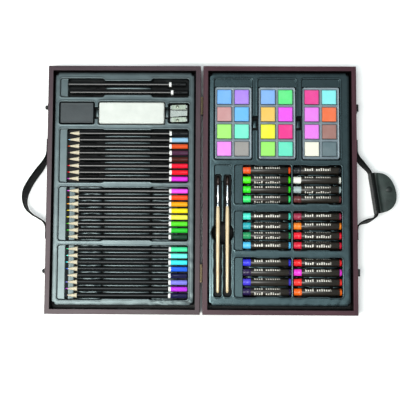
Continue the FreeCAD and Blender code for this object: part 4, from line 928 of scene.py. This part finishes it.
def make_pencils():
    r = PENCIL_RADIUS

    def barrel(ring_at, length):
        end = ring_at + RING_WIDTH
        ring = [(ring_at - 0.1, r), (ring_at + 0.1, r + 0.04), (end - 0.1, r + 0.04), (end + 0.1, r)]
        return [(80, r), *ring, (160, r), *rounded_end(length, r, 1.0)]

    cone = [(0, 0), (0.1, 0.16), (0.6, 0.3), (LEAD_LENGTH, 0.86), (5.1, 1.16), (10, 2.1), (17, 3.32),
            (CONE_LENGTH - 0.4, r - 0.03), (CONE_LENGTH, r)]
    sharp = lathe("sharp_pencil", [*cone, *barrel(PENCIL_RING, PENCIL_LENGTH)], PENCIL_SIDES)
    for row, tints in enumerate(PENCIL_TINTS):
        node = f"pencil_row_{row + 1}"
        slacks = [PENCIL_SLACK * (0.5 + PENCIL_STAGGER * math.sin(2.4 * (8 * row + i))) for i in range(8)]
        points = [(ROW_DEEP + slack, axis, PENCIL_AXIS)
                  for slack, axis in zip(slacks, row_axes(node, r, ROW_PITCH)[::-1])]
        pencils = laid_out(f"coloured_pencils_{row + 1}", sharp, points, "pencil", tints)
        settle(pencils, node, "pencil_lacquer", node)
    blunt = lathe("blunt_pencil", [*rounded_start(r, 0.7), *barrel(GRAPHITE_RING, GRAPHITE_LENGTH)],
                  PENCIL_SIDES)
    x0 = node_mm("graphite_pencils")[0]
    points = [(x0 + GRAPHITE_SHIFT * i, axis, PENCIL_AXIS)
              for i, axis in enumerate(row_axes("graphite_pencils", r, GRAPHITE_PITCH)[::-1])]
    pair = laid_out("graphite_pencil_pair", blunt, points, "graphite", ["08090A"] * 2)
    settle(pair, "graphite_pencils", "graphite_lacquer", "graphite_pencils")
    discard(sharp, blunt)


def make_pastels():
    wax = WAX_RADIUS
    paper = PASTEL_RADIUS
    start, end = SLEEVE
    profile = [*rounded_start(wax, 0.9), (5, wax), (start - 0.02, wax), (start, paper - 0.08),
               (start + 0.1, paper), (38, paper), (end - 0.1, paper), (end, paper - 0.08), (end + 0.02, wax),
               *rounded_end(PASTEL_LENGTH, wax, 0.6)]
    stick = lathe("pastel_stick", profile, PASTEL_SIDES)
    random = np.random.RandomState(5)
    for side, groups in PASTEL_TINTS.items():
        for i, tints in enumerate(groups):
            node = f"pastels_{side}_{i + 1}"
            x0 = node_mm(node)[0]
            points = [(x0, axis, PASTEL_AXIS) for axis in row_axes(node, PASTEL_RADIUS, PASTEL_PITCH)[::-1]]
            turns = [(random.uniform(-0.9, 1.5), 0, 0) for _ in points]
            sticks = laid_out(f"oil_pastels_{side}_{i + 1}", stick, points, "pastel", tints, turns)
            settle(sticks, node, "pastel", node)
    discard(stick)


def make_palettes():
    half = CELL / 2 - CAKE_GAP
    side = np.array([-1, -0.98, -0.94, -0.85, -0.5, 0, 0.5, 0.85, 0.94, 0.98, 1]) * half
    x, y = np.meshgrid(side, side)
    reach = np.maximum(np.abs(x), np.abs(y))
    top = CAKE_HEIGHT - CAKE_EDGE * np.exp((reach - half) / 0.3) - CAKE_DISH * (1 - (reach / half) ** 4)
    cake = moulded_block("paint_cake", side, side, top, 0.0, finishes["paint"])
    for i, tints in enumerate(CAKE_TINTS):
        node = f"palette_{i + 1}"
        x0, x1, y0, y1, z0, z1 = node_mm(node)
        columns = [(x0 + x1) / 2 + CELL_PITCH * (k - 0.5) for k in range(2)]
        rows = [(y0 + y1) / 2 + CELL_PITCH * (1.5 - k) for k in range(4)]
        edges_x = [c + way * CELL / 2 for c in columns for way in (-1, 1)]
        edges_y = [r + way * CELL / 2 for r in rows for way in (-1, 1)]
        xs = grid_lines(x0, x1, [x0, x1, *edges_x], [], PALETTE_STEP)
        ys = grid_lines(y0, y1, [y0, y1, *edges_y], [], PALETTE_STEP)
        gx, gy = np.meshgrid(xs, ys)
        edge = outside(gx, gy, (x0, x1, y0, y1), PALETTE_CORNER)
        height = z1 - np.interp(edge, [-2.2, -1.7, -1.2, -0.8, -0.4, -0.12, 0.0],
                                [0.5, 0.45, 0.1, 0, 0.14, 0.7, z1 - z0 - SLIVER])
        for c in columns:
            for r in rows:
                cell = (c - CELL / 2, c + CELL / 2, r - CELL / 2, r + CELL / 2)
                height = pressed(height, outside(gx, gy, cell, CELL_CORNER), z1 - CELL_DEPTH, z1, run=0.3)
        body = moulded_block(f"paint_palette_{i + 1}", xs, ys, height, z0, finishes["palette"])
        settle(body, node, "palette_plastic", node)
        points = [(c - CAKE_SHIFT, r + CAKE_SHIFT, z1 - CELL_DEPTH + 0.02) for r in rows for c in columns]
        cakes = laid_out(f"paint_in_palette_{i + 1}", cake, points, "paint", tints)
        settle(cakes, node, "paint", f"paint_cakes_{i + 1}")
    discard(cake)


make_pencils()
make_pastels()
make_palettes()


# Screws with crossed slots

HINGE_SCREWS = (244.0, 15.0)
LATCH_SCREWS = (240.0, 5.2)
STRAP_SCREWS = 64.0
FLUSH_PROUD = 0.04
PAN_DOME = 1.7
BLADE_FALL = (3.6, 24.8)
HEAD_SIDES = 48
HEAD_BACK = -0.6
# The slots' reach as a share of the radius, and their depth as a share of their width
SLOT_REACH = 0.62
SLOT_DEPTH = 0.9


def screw_head(name, radius, dome, slot):
    """A screw head on the YZ plane, facing +X, with a crossed recess pressed into it."""
    rings = [*np.linspace(0, 0.94, 12), 1.0]
    points = []
    for share in rings:
        for k in range(HEAD_SIDES):
            angle = 2 * math.pi * k / HEAD_SIDES
            y, z = share * radius * math.cos(angle), share * radius * math.sin(angle)
            cross = min(abs(y), abs(z)) < slot / 2 and max(abs(y), abs(z)) < SLOT_REACH * radius
            points.append((dome * (1 - share ** 2.4) - (SLOT_DEPTH * slot if cross else 0), y, z))
    points += [(HEAD_BACK, y, z) for _, y, z in points[-HEAD_SIDES:]]
    faces = quads(len(rings) + 1, HEAD_SIDES, closed=True)
    faces.append(tuple(range(len(points) - HEAD_SIDES, len(points))))
    head = new_piece(name, points, faces, finishes["enamel"])
    face_outward(head)
    return head


def make_screws():
    flush = screw_head("flush_head", 1.65, 0.06, 0.5)
    pan = screw_head("pan_head", 3.4, PAN_DOME, 1.1)
    blade_head = screw_head("blade_head", 2.15, 0.4, 0.6)
    outer_way = {"left": [(0, 0, math.pi)], "right": [(0, 0, 0)]}
    sets = (("left_hinge_screws", "left_half", "brass", HINGE_SCREWS, "right"),
            ("right_hinge_screws", "right_half", "brass", HINGE_SCREWS, "left"),
            ("strike_screws", "left_half", "enamel", LATCH_SCREWS, "left"),
            ("hasp_screws", "right_half", "enamel", LATCH_SCREWS, "right"))
    for node, body, finish, (spread, pair), way in sets:
        x0, x1, _, _, z0, z1 = node_mm(node)
        face = x1 + FLUSH_PROUD if way == "right" else x0 - FLUSH_PROUD
        points = [(face, a * spread / 2 + b * pair / 2, (z0 + z1) / 2) for a in (-1, 1) for b in (-1, 1)]
        heads = laid_out(f"{node}_heads", flush, points, finish, turns=outer_way[way] * 4)
        settle(heads, body, "brass" if finish == "brass" else "dark_metal", node)
    for way in ("left", "right"):
        node = f"{way}_strap_screws"
        x0, x1, _, _, z0, z1 = node_mm(node)
        face = x1 - PAN_DOME if way == "right" else x0 + PAN_DOME
        points = [(face, a * STRAP_SCREWS, (z0 + z1) / 2) for a in (-1, 1)]
        heads = laid_out(f"{node}_heads", pan, points, "enamel", turns=outer_way[way] * 2)
        settle(heads, f"{way}_half", "dark_metal", node)
    x0, x1, y0, y1, _, z1 = node_mm("sharpener_screws")
    slope = math.atan2(*BLADE_FALL)
    tops = [((x0 + x1) / 2 - 0.1, y, z1 - 0.55) for y in (y0 + 2.2, y1 - 2.2)]
    heads = laid_out("sharpener_screws_heads", blade_head, tops, "blade",
                     turns=[(0, -math.pi / 2 - slope, 0)] * 2)
    settle(heads, "sharpener", "blade_steel", "sharpener_screws")
    discard(flush, pan, blade_head)


make_screws()


# Erasers

LONG_EDGE = 8
LONG_EDGE_CUTS = 9


def soft_slab(name, node, bevel, crown, finish, slot):
    """A moulded slab with rounded edges and a slightly swollen top."""
    x0, x1, y0, y1, z0, z1 = node_mm(node)
    middle = Vector(((x0 + x1) / 2, (y0 + y1) / 2, (z0 + z1) / 2))
    size = Vector((x1 - x0, y1 - y0, z1 - z0))
    slab = bmesh.new()
    bmesh.ops.create_cube(slab, size=1.0)
    for v in slab.verts:
        v.co = Vector([m + c * s for m, c, s in zip(middle, v.co, size)])
    bmesh.ops.bevel(slab, geom=slab.edges[:], offset=bevel, segments=4, profile=0.5, affect="EDGES")
    wide = [e for e in slab.edges if e.calc_length() > LONG_EDGE]
    bmesh.ops.subdivide_edges(slab, edges=wide, cuts=LONG_EDGE_CUTS, use_grid_fill=True)
    for v in slab.verts:
        if v.co.z > z1 - SLIVER:
            across = 2 * (v.co.x - middle.x) / size.x
            up = 2 * (v.co.y - middle.y) / size.y
            v.co.z -= crown * max(across ** 2, up ** 2)
    slab.verts.index_update()
    # A bevel lists its corner faces in no fixed order, so the faces are sorted
    faces = sorted([v.index for v in face.verts] for face in slab.faces)
    piece = new_piece(name, [v.co for v in slab.verts], faces, finishes[finish])
    slab.free()
    face_outward(piece)
    settle(piece, node, slot, node)


soft_slab("white_block_eraser", "white_eraser", 2.4, 0.3, "white_vinyl", "white_rubber")
soft_slab("dark_block_eraser", "dark_eraser", 1.0, 0.15, "dark_rubber", "dark_rubber")


# Brushes

HAIRS = 150
HAIR_RING = 1.5
HAIR_LEAN = 0.05


def make_brushes():
    _, _, y0, y1, _, _ = node_mm("brush_handles")
    _, _, f0, f1, z0, z1 = node_mm("brush_ferrules")
    _, _, h0, _, _, _ = node_mm("brush_hairs")
    axis_z = (z0 + z1) / 2
    stick = y1 - y0
    tube = f1 - f0
    handle = [(0, 0), (0.02, 2.2), (3, 2.4), (10, 2.6), (19, 2.8), (45, 2.66), (90, 2.35),
              (stick - 4, 2.12), (stick - 1.6, 1.85), (stick - 0.5, 1.2), (stick, 0)]
    crimps = [(tube - at + o, r) for at in (8.2, 5.8)
              for o, r in ((-0.4, 2.1), (0.0, 1.92), (0.6, 1.92), (1.0, 2.12))]
    ferrule = [(0, 0), (0.02, 1.6), (0.4, 1.7), *crimps, (tube - 0.3, 2.3), (tube, 2.28), (tube, 0)]
    tuft = [(0, 0), (0.02, 1.6), (4.9, 2.15), (9.0, 1.5), (12.4, 0.55), (13.8, 0)]
    turned = (("birch_handles", handle, 24, y1, -1, "birch", "brush_wood", "brush_handles"),
              ("plated_ferrules", ferrule, 24, f1, -1, "ferrule", "ferrule_metal", "brush_ferrules"),
              ("brush_tufts", tuft, 20, h0, 1, "hair", "brush_hair", "brush_hairs"))
    for name, profile, around, y, way, finish, slot, node in turned:
        shape = lathe(f"{name}_shape", profile, around)
        points = [(axis, y, axis_z) for axis in BRUSH_AXES]
        piece = laid_out(name, shape, points, finish, turns=[(0, 0, way * math.pi / 2)] * 2)
        settle(piece, "brushes", slot, node)
        discard(shape)
    strand = lathe("strand", [(0, 0.13), (5, 0.13), (10, 0.1), (13.4, 0.0)], 3)
    random = np.random.RandomState(2)
    roots = []
    leans = []
    for axis in BRUSH_AXES:
        for _ in range(HAIRS):
            angle = random.uniform(0, 2 * math.pi)
            share = random.uniform(0.7, 1)
            side = share * math.cos(angle)
            up = share * math.sin(angle)
            roots.append((axis + HAIR_RING * side, h0 + random.uniform(0, 0.4), axis_z + HAIR_RING * up))
            leans.append((0, HAIR_LEAN * up, math.pi / 2 - HAIR_LEAN * side))
    strands = laid_out("brush_strands", strand, roots, "hair", turns=leans)
    settle(strands, "brushes", "brush_hair")
    discard(strand)


make_brushes()


# Carrying straps and the wrap on the right one

STRAP_Z = 11.95
STRAP_HALF_WIDTH = 8.0
STRAP_HALF_THICK = 1.05
LEFT_WALL = -111.95
RIGHT_WALL = 339.45
LEFT_PATH = ((1.1, 73), (1.1, 62), (1.2, 52), (5.0, 41), (14.5, 27), (26, 11), (33.6, -4), (35.0, -18),
             (31.6, -30), (23.4, -38), (12, -44), (3.6, -50), (1.1, -58), (1.1, -66), (1.1, -73))
LEFT_LEANS = ((0, 0), (0.14, 0), (0.28, 0.34), (0.5, 0.34), (0.62, 0.04), (0.7, -0.1), (0.85, -0.1), (1, 0))
RIGHT_PATH = ((1.1, 73), (1.1, 62), (1.4, 53), (6.0, 44), (14.5, 34.5), (22.0, 26), (24.4, 14), (27.0, -4),
              (29.6, -22), (31.2, -34), (28, -41), (20.0, -44.5), (10.5, -47), (3.4, -51), (1.1, -58),
              (1.1, -66), (1.1, -73))
RIGHT_LEANS = ((0, 0), (0.1, 0), (0.2, 0.2), (0.32, 0), (0.68, 0), (0.78, -0.35), (0.9, -0.1), (1, 0))


def smooth_line(points, count):
    """Evenly spaced points on a NURBS curve guided by the given ones, and how far along it they are."""
    curve = bpy.data.curves.new("line", "CURVE")
    curve.dimensions = "3D"
    curve.resolution_u = 24
    spline = curve.splines.new("NURBS")
    spline.points.add(len(points) - 1)
    for point, (a, b) in zip(spline.points, points):
        point.co = (a, b, 0, 1)
    spline.order_u = 3
    spline.use_endpoint_u = True
    holder = placed("line", curve)
    line = np.array([v.co for v in evaluated_mesh(holder).vertices])
    bpy.data.objects.remove(holder)
    length = np.concatenate(([0], np.cumsum(np.linalg.norm(np.diff(line, axis=0), axis=1))))
    at = np.linspace(0, length[-1], count)
    return np.stack([np.interp(at, length, line[:, k]) for k in (0, 1)], -1), at


def make_strap(half, wall, outward, path, leans):
    """A flat woven strap on edge, fixed at both ends, leaning by the given angles along its loop."""
    line, at = smooth_line(path, 160)
    tangent = np.gradient(line, axis=0)
    tangent /= np.linalg.norm(tangent, axis=1)[:, None]
    inner = [(-0.9, -1.0), (-1.0, -0.94), (-1.0, -0.5), (-1.0, 0), (-1.0, 0.5), (-1.0, 0.94), (-0.9, 1.0)]
    ring = inner + [(-side, -up) for side, up in inner]
    places, angles = zip(*leans)
    points = []
    weave = []
    for (off, y), (run_off, run_y), s in zip(line, tangent, at):
        lean = float(np.interp(s / at[-1], places, angles))
        for side, up in ring:
            thick = side * STRAP_HALF_THICK
            wide = up * STRAP_HALF_WIDTH
            across = thick * math.cos(lean) + wide * math.sin(lean)
            high = wide * math.cos(lean) - thick * math.sin(lean)
            points.append((wall + outward * (off - run_y * across), y + run_off * across, STRAP_Z + high))
            weave.append((s, wide + (0 if side < 0 else 20)))
    count = len(ring)
    faces = quads(len(line), count, closed=True)
    faces += [tuple(range(count)), tuple(range(len(points) - count, len(points)))]
    strap = new_piece(f"{half}_strap", points, faces, finishes["webbing"])
    face_outward(strap)
    layer = strap.data.uv_layers.new(name="strap")
    for loop in strap.data.loops:
        layer.data[loop.index].uv = weave[loop.vertex_index]
    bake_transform(strap)
    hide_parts(f"{half}_strap_ends", f"{half}_strap_loop")


make_strap("left", LEFT_WALL, -1, LEFT_PATH, LEFT_LEANS)
make_strap("right", RIGHT_WALL, 1, RIGHT_PATH, RIGHT_LEANS)

WRAP_BACK = (22.5, 27.5)
WRAP_FRONT = (31.8, -36.5)
WRAP_TURN = math.atan2(WRAP_FRONT[0] - WRAP_BACK[0], WRAP_BACK[1] - WRAP_FRONT[1])
WRAP_MIDDLE = (RIGHT_WALL + (WRAP_BACK[0] + WRAP_FRONT[0]) / 2, (WRAP_BACK[1] + WRAP_FRONT[1]) / 2)
WRAP_OUT = 32.0
# WRAP_FOLD: how far out from the strap the fold's painted shade reaches
WRAP_FOLD = 2.4
WRAP_TIP = -4.6
WRAP_SPANS = (25.4, 34.2)
WRAP_THICK = 1.2
WRAP_EDGE = 0.3
WRAP_SWELL = 0.3
SNAP_SWELL = 0.35
SNAP_REACH = 7.0
SNAP_HEIGHT = 2.75


def wrap_point(out, along, up):
    """A point given out from the strap, along it and up, in the part's own frame."""
    c, s = math.cos(WRAP_TURN), math.sin(WRAP_TURN)
    return (WRAP_MIDDLE[0] + out * c - along * s, WRAP_MIDDLE[1] + out * s + along * c, STRAP_Z + up)


def make_leaf(name, side_line, rows=72, across=49):
    """A sheet that follows a side line, cut to the wrap's round outline, with a real thickness."""
    line, at = smooth_line(side_line, rows)
    x0, x1, y0, y1, _, _ = node_mm("snap_cap")
    points = []
    for out, up in line:
        bow = math.sqrt(max(1 - (max(out, 0) / WRAP_OUT) ** 3.0, 0.0016))
        for k in range(across):
            share = 2 * k / (across - 1) - 1
            along = WRAP_TIP + share * bow * WRAP_SPANS[0 if share < 0 else 1]
            fullness = math.sin(math.pi * min(max((out - 12) / 20, 0), 1))
            swell = WRAP_SWELL * fullness * math.cos(share * math.pi / 2)
            spot = wrap_point(out, along, 0)
            snap = math.hypot(spot[0] - (x0 + x1) / 2, spot[1] - (y0 + y1) / 2)
            swell += SNAP_SWELL * math.exp(-(snap / SNAP_REACH) ** 4) if out > 9 else 0
            points.append(wrap_point(out, along, up + math.copysign(swell, up)))
    leaf = new_piece(name, points, quads(rows, across), finishes["leathercloth"])
    # The fold at the spine takes the blacker copy of the cloth: painted shade
    leaf.data.materials.append(finishes["fold_shade_cloth"])
    spine_shade = [int(line[i][0] < WRAP_FOLD) for i in range(rows - 1) for _ in range(across - 1)]
    leaf.data.polygons.foreach_set("material_index", spine_shade)
    thick = leaf.modifiers.new("thick", "SOLIDIFY")
    thick.thickness = WRAP_THICK * MM
    thick.offset = 0.0
    edge = leaf.modifiers.new("edge", "BEVEL")
    edge.width = WRAP_EDGE * MM
    edge.segments = 2
    edge.limit_method = "ANGLE"
    edge.angle_limit = math.radians(60)
    baked(leaf)
    return leaf


def make_wrap():
    sleeve = make_leaf("wrap_underside", ((WRAP_OUT, -1.35), (20, -1.35), (14, -1.5), (9, -4.5), (4.5, -8.4),
                                          (1.0, -9.0), (-1.6, -8.9), (-2.1, -7.0), (-2.1, 0.0), (-2.1, 6.0),
                                          (-2.1, 8.4)))
    settle(sleeve, "right_handle", "leatherette", "wrap_sleeve")
    flap = make_leaf("wrap_flap_leaf", ((-2.1, 9.2), (-1.9, 9.4), (0.6, 9.4), (3.0, 8.4), (5.6, 4.6),
                                        (7.6, 1.4), (9.4, 0.9), (12, 1.1), (16, 1.3), (22, 1.3),
                                        (WRAP_OUT, 1.3)))
    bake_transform(flap)
    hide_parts("wrap_flap")
    x0, x1, y0, y1, _, z1 = node_mm("snap_cap")
    profile = [(0, 0), (0, 1.5), (0.55, 1.5), (0.56, 5.3), (0.8, 5.28), (1.3, 5.0), (1.8, 4.4), (2.25, 3.4),
               (2.55, 2.2), (2.72, 1.0), (SNAP_HEIGHT, 0)]
    dome = lathe("snap_dome", profile, 40)
    # The dome takes the darker copy of the cloth: painted shade on its bulge
    cap = laid_out("snap_cap_dome", dome, [((x0 + x1) / 2, (y0 + y1) / 2, z1 - SNAP_HEIGHT)], "snap_shade_cloth",
                   turns=[(0, -math.pi / 2, 0)])
    settle(cap, "wrap_flap", "snap_metal", "snap_cap")
    discard(dome)


make_wrap()


# Stage, light and camera

FLOOR_HALF = 6000
FLOOR_Z = -0.4
# Each softbox: name, place and size in metres, brightness and tint
SOFTBOXES = (
    ("front_softbox", (-0.38, -0.325, 1.15), (0.8, 0.25), 19.5, (1.0, 0.99, 0.95)),
    ("middle_softbox", (-0.38, -0.05, 1.15), (0.8, 0.3), 5.0, (0.97, 0.99, 0.98)),
    ("back_softbox", (-0.34, 0.285, 1.15), (0.88, 0.37), 3.2, (0.82, 0.95, 1.0)),
    ("front_right_softbox", (0.42, -0.275, 1.15), (0.6, 0.35), 2.3, (0.85, 0.97, 1.0)),
    ("back_right_softbox", (0.42, 0.25, 1.15), (0.6, 0.7), 0.75, (0.85, 0.97, 1.0)))
# The focal length is in pixels of a picture of the width below, and the sensor in millimetres
FOCAL_PIXELS = 605.53
PICTURE_PIXELS = 400
SENSOR = 36
CAMERA_PLACE = (0.11797, -0.06771, 0.9)
CAMERA_DEGREES = (3.373, 0.404, 0.293)


def lit_paper(name):
    # White paper floor, matt, with a glow of its own that fades in the narrow gap between the halves
    material, tree = blank(name)
    spot = add(tree, "ShaderNodeTexCoord", out="Object")
    seam = (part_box("left_hinge_stile")[1][0], 0, 0)
    off = add(tree, "ShaderNodeVectorMath", {0: spot, 1: seam}, operation="SUBTRACT")
    off = add(tree, "ShaderNodeVectorMath", {0: off, 1: (1, 0.25, 0)}, operation="MULTIPLY")
    off = add(tree, "ShaderNodeVectorMath", {0: off}, "Value", operation="LENGTH")
    glow = add(tree, "ShaderNodeMapRange",
               {"Value": off, "From Min": 0.02, "From Max": 0.14, "To Max": 0.25},
               interpolation_type="SMOOTHSTEP")
    paper = add(tree, "ShaderNodeBsdfPrincipled",
                {"Base Color": linear("F4F5F3"), "Roughness": 0.9, "Emission Color": (1, 1, 1, 1),
                 "Emission Strength": glow})
    add(tree, "ShaderNodeOutputMaterial", {"Surface": paper})
    return material


def make_stage():
    scene = bpy.context.scene
    corners = [(a * FLOOR_HALF, b * FLOOR_HALF, FLOOR_Z) for a, b in ((-1, -1), (1, -1), (1, 1), (-1, 1))]
    new_piece("studio_floor", corners, [(0, 1, 2, 3)], lit_paper("white_floor"))
    world = bpy.data.worlds.new("studio")
    world.use_nodes = True
    tree = world.node_tree
    tree.nodes.clear()
    way = add(tree, "ShaderNodeTexCoord", out="Generated")
    climb = add(tree, "ShaderNodeSeparateXYZ", {0: way}, "Z")
    glow = add(tree, "ShaderNodeMapRange",
               {"Value": climb, "From Min": 0.3, "From Max": 0.6, "To Min": 0.6, "To Max": 0.25})
    walls = add(tree, "ShaderNodeBackground", {"Color": (0.93, 0.98, 1.0, 1.0), "Strength": glow})
    add(tree, "ShaderNodeOutputWorld", {"Surface": walls})
    scene.world = world
    for name, where, size, brightness, tint in SOFTBOXES:
        light = bpy.data.lights.new(name, "AREA")
        light.shape = "RECTANGLE"
        light.size, light.size_y = size
        light.energy = brightness * math.pi * size[0] * size[1]
        light.color = tint
        placed(name, light).location = where
    lens = bpy.data.cameras.new("camera")
    lens.lens = FOCAL_PIXELS / PICTURE_PIXELS * SENSOR
    lens.sensor_width = SENSOR
    camera = placed("camera", lens)
    camera.location = CAMERA_PLACE
    camera.rotation_euler = [math.radians(a) for a in CAMERA_DEGREES]
    scene.camera = camera
    scene.view_settings.view_transform = "Standard"


make_stage()
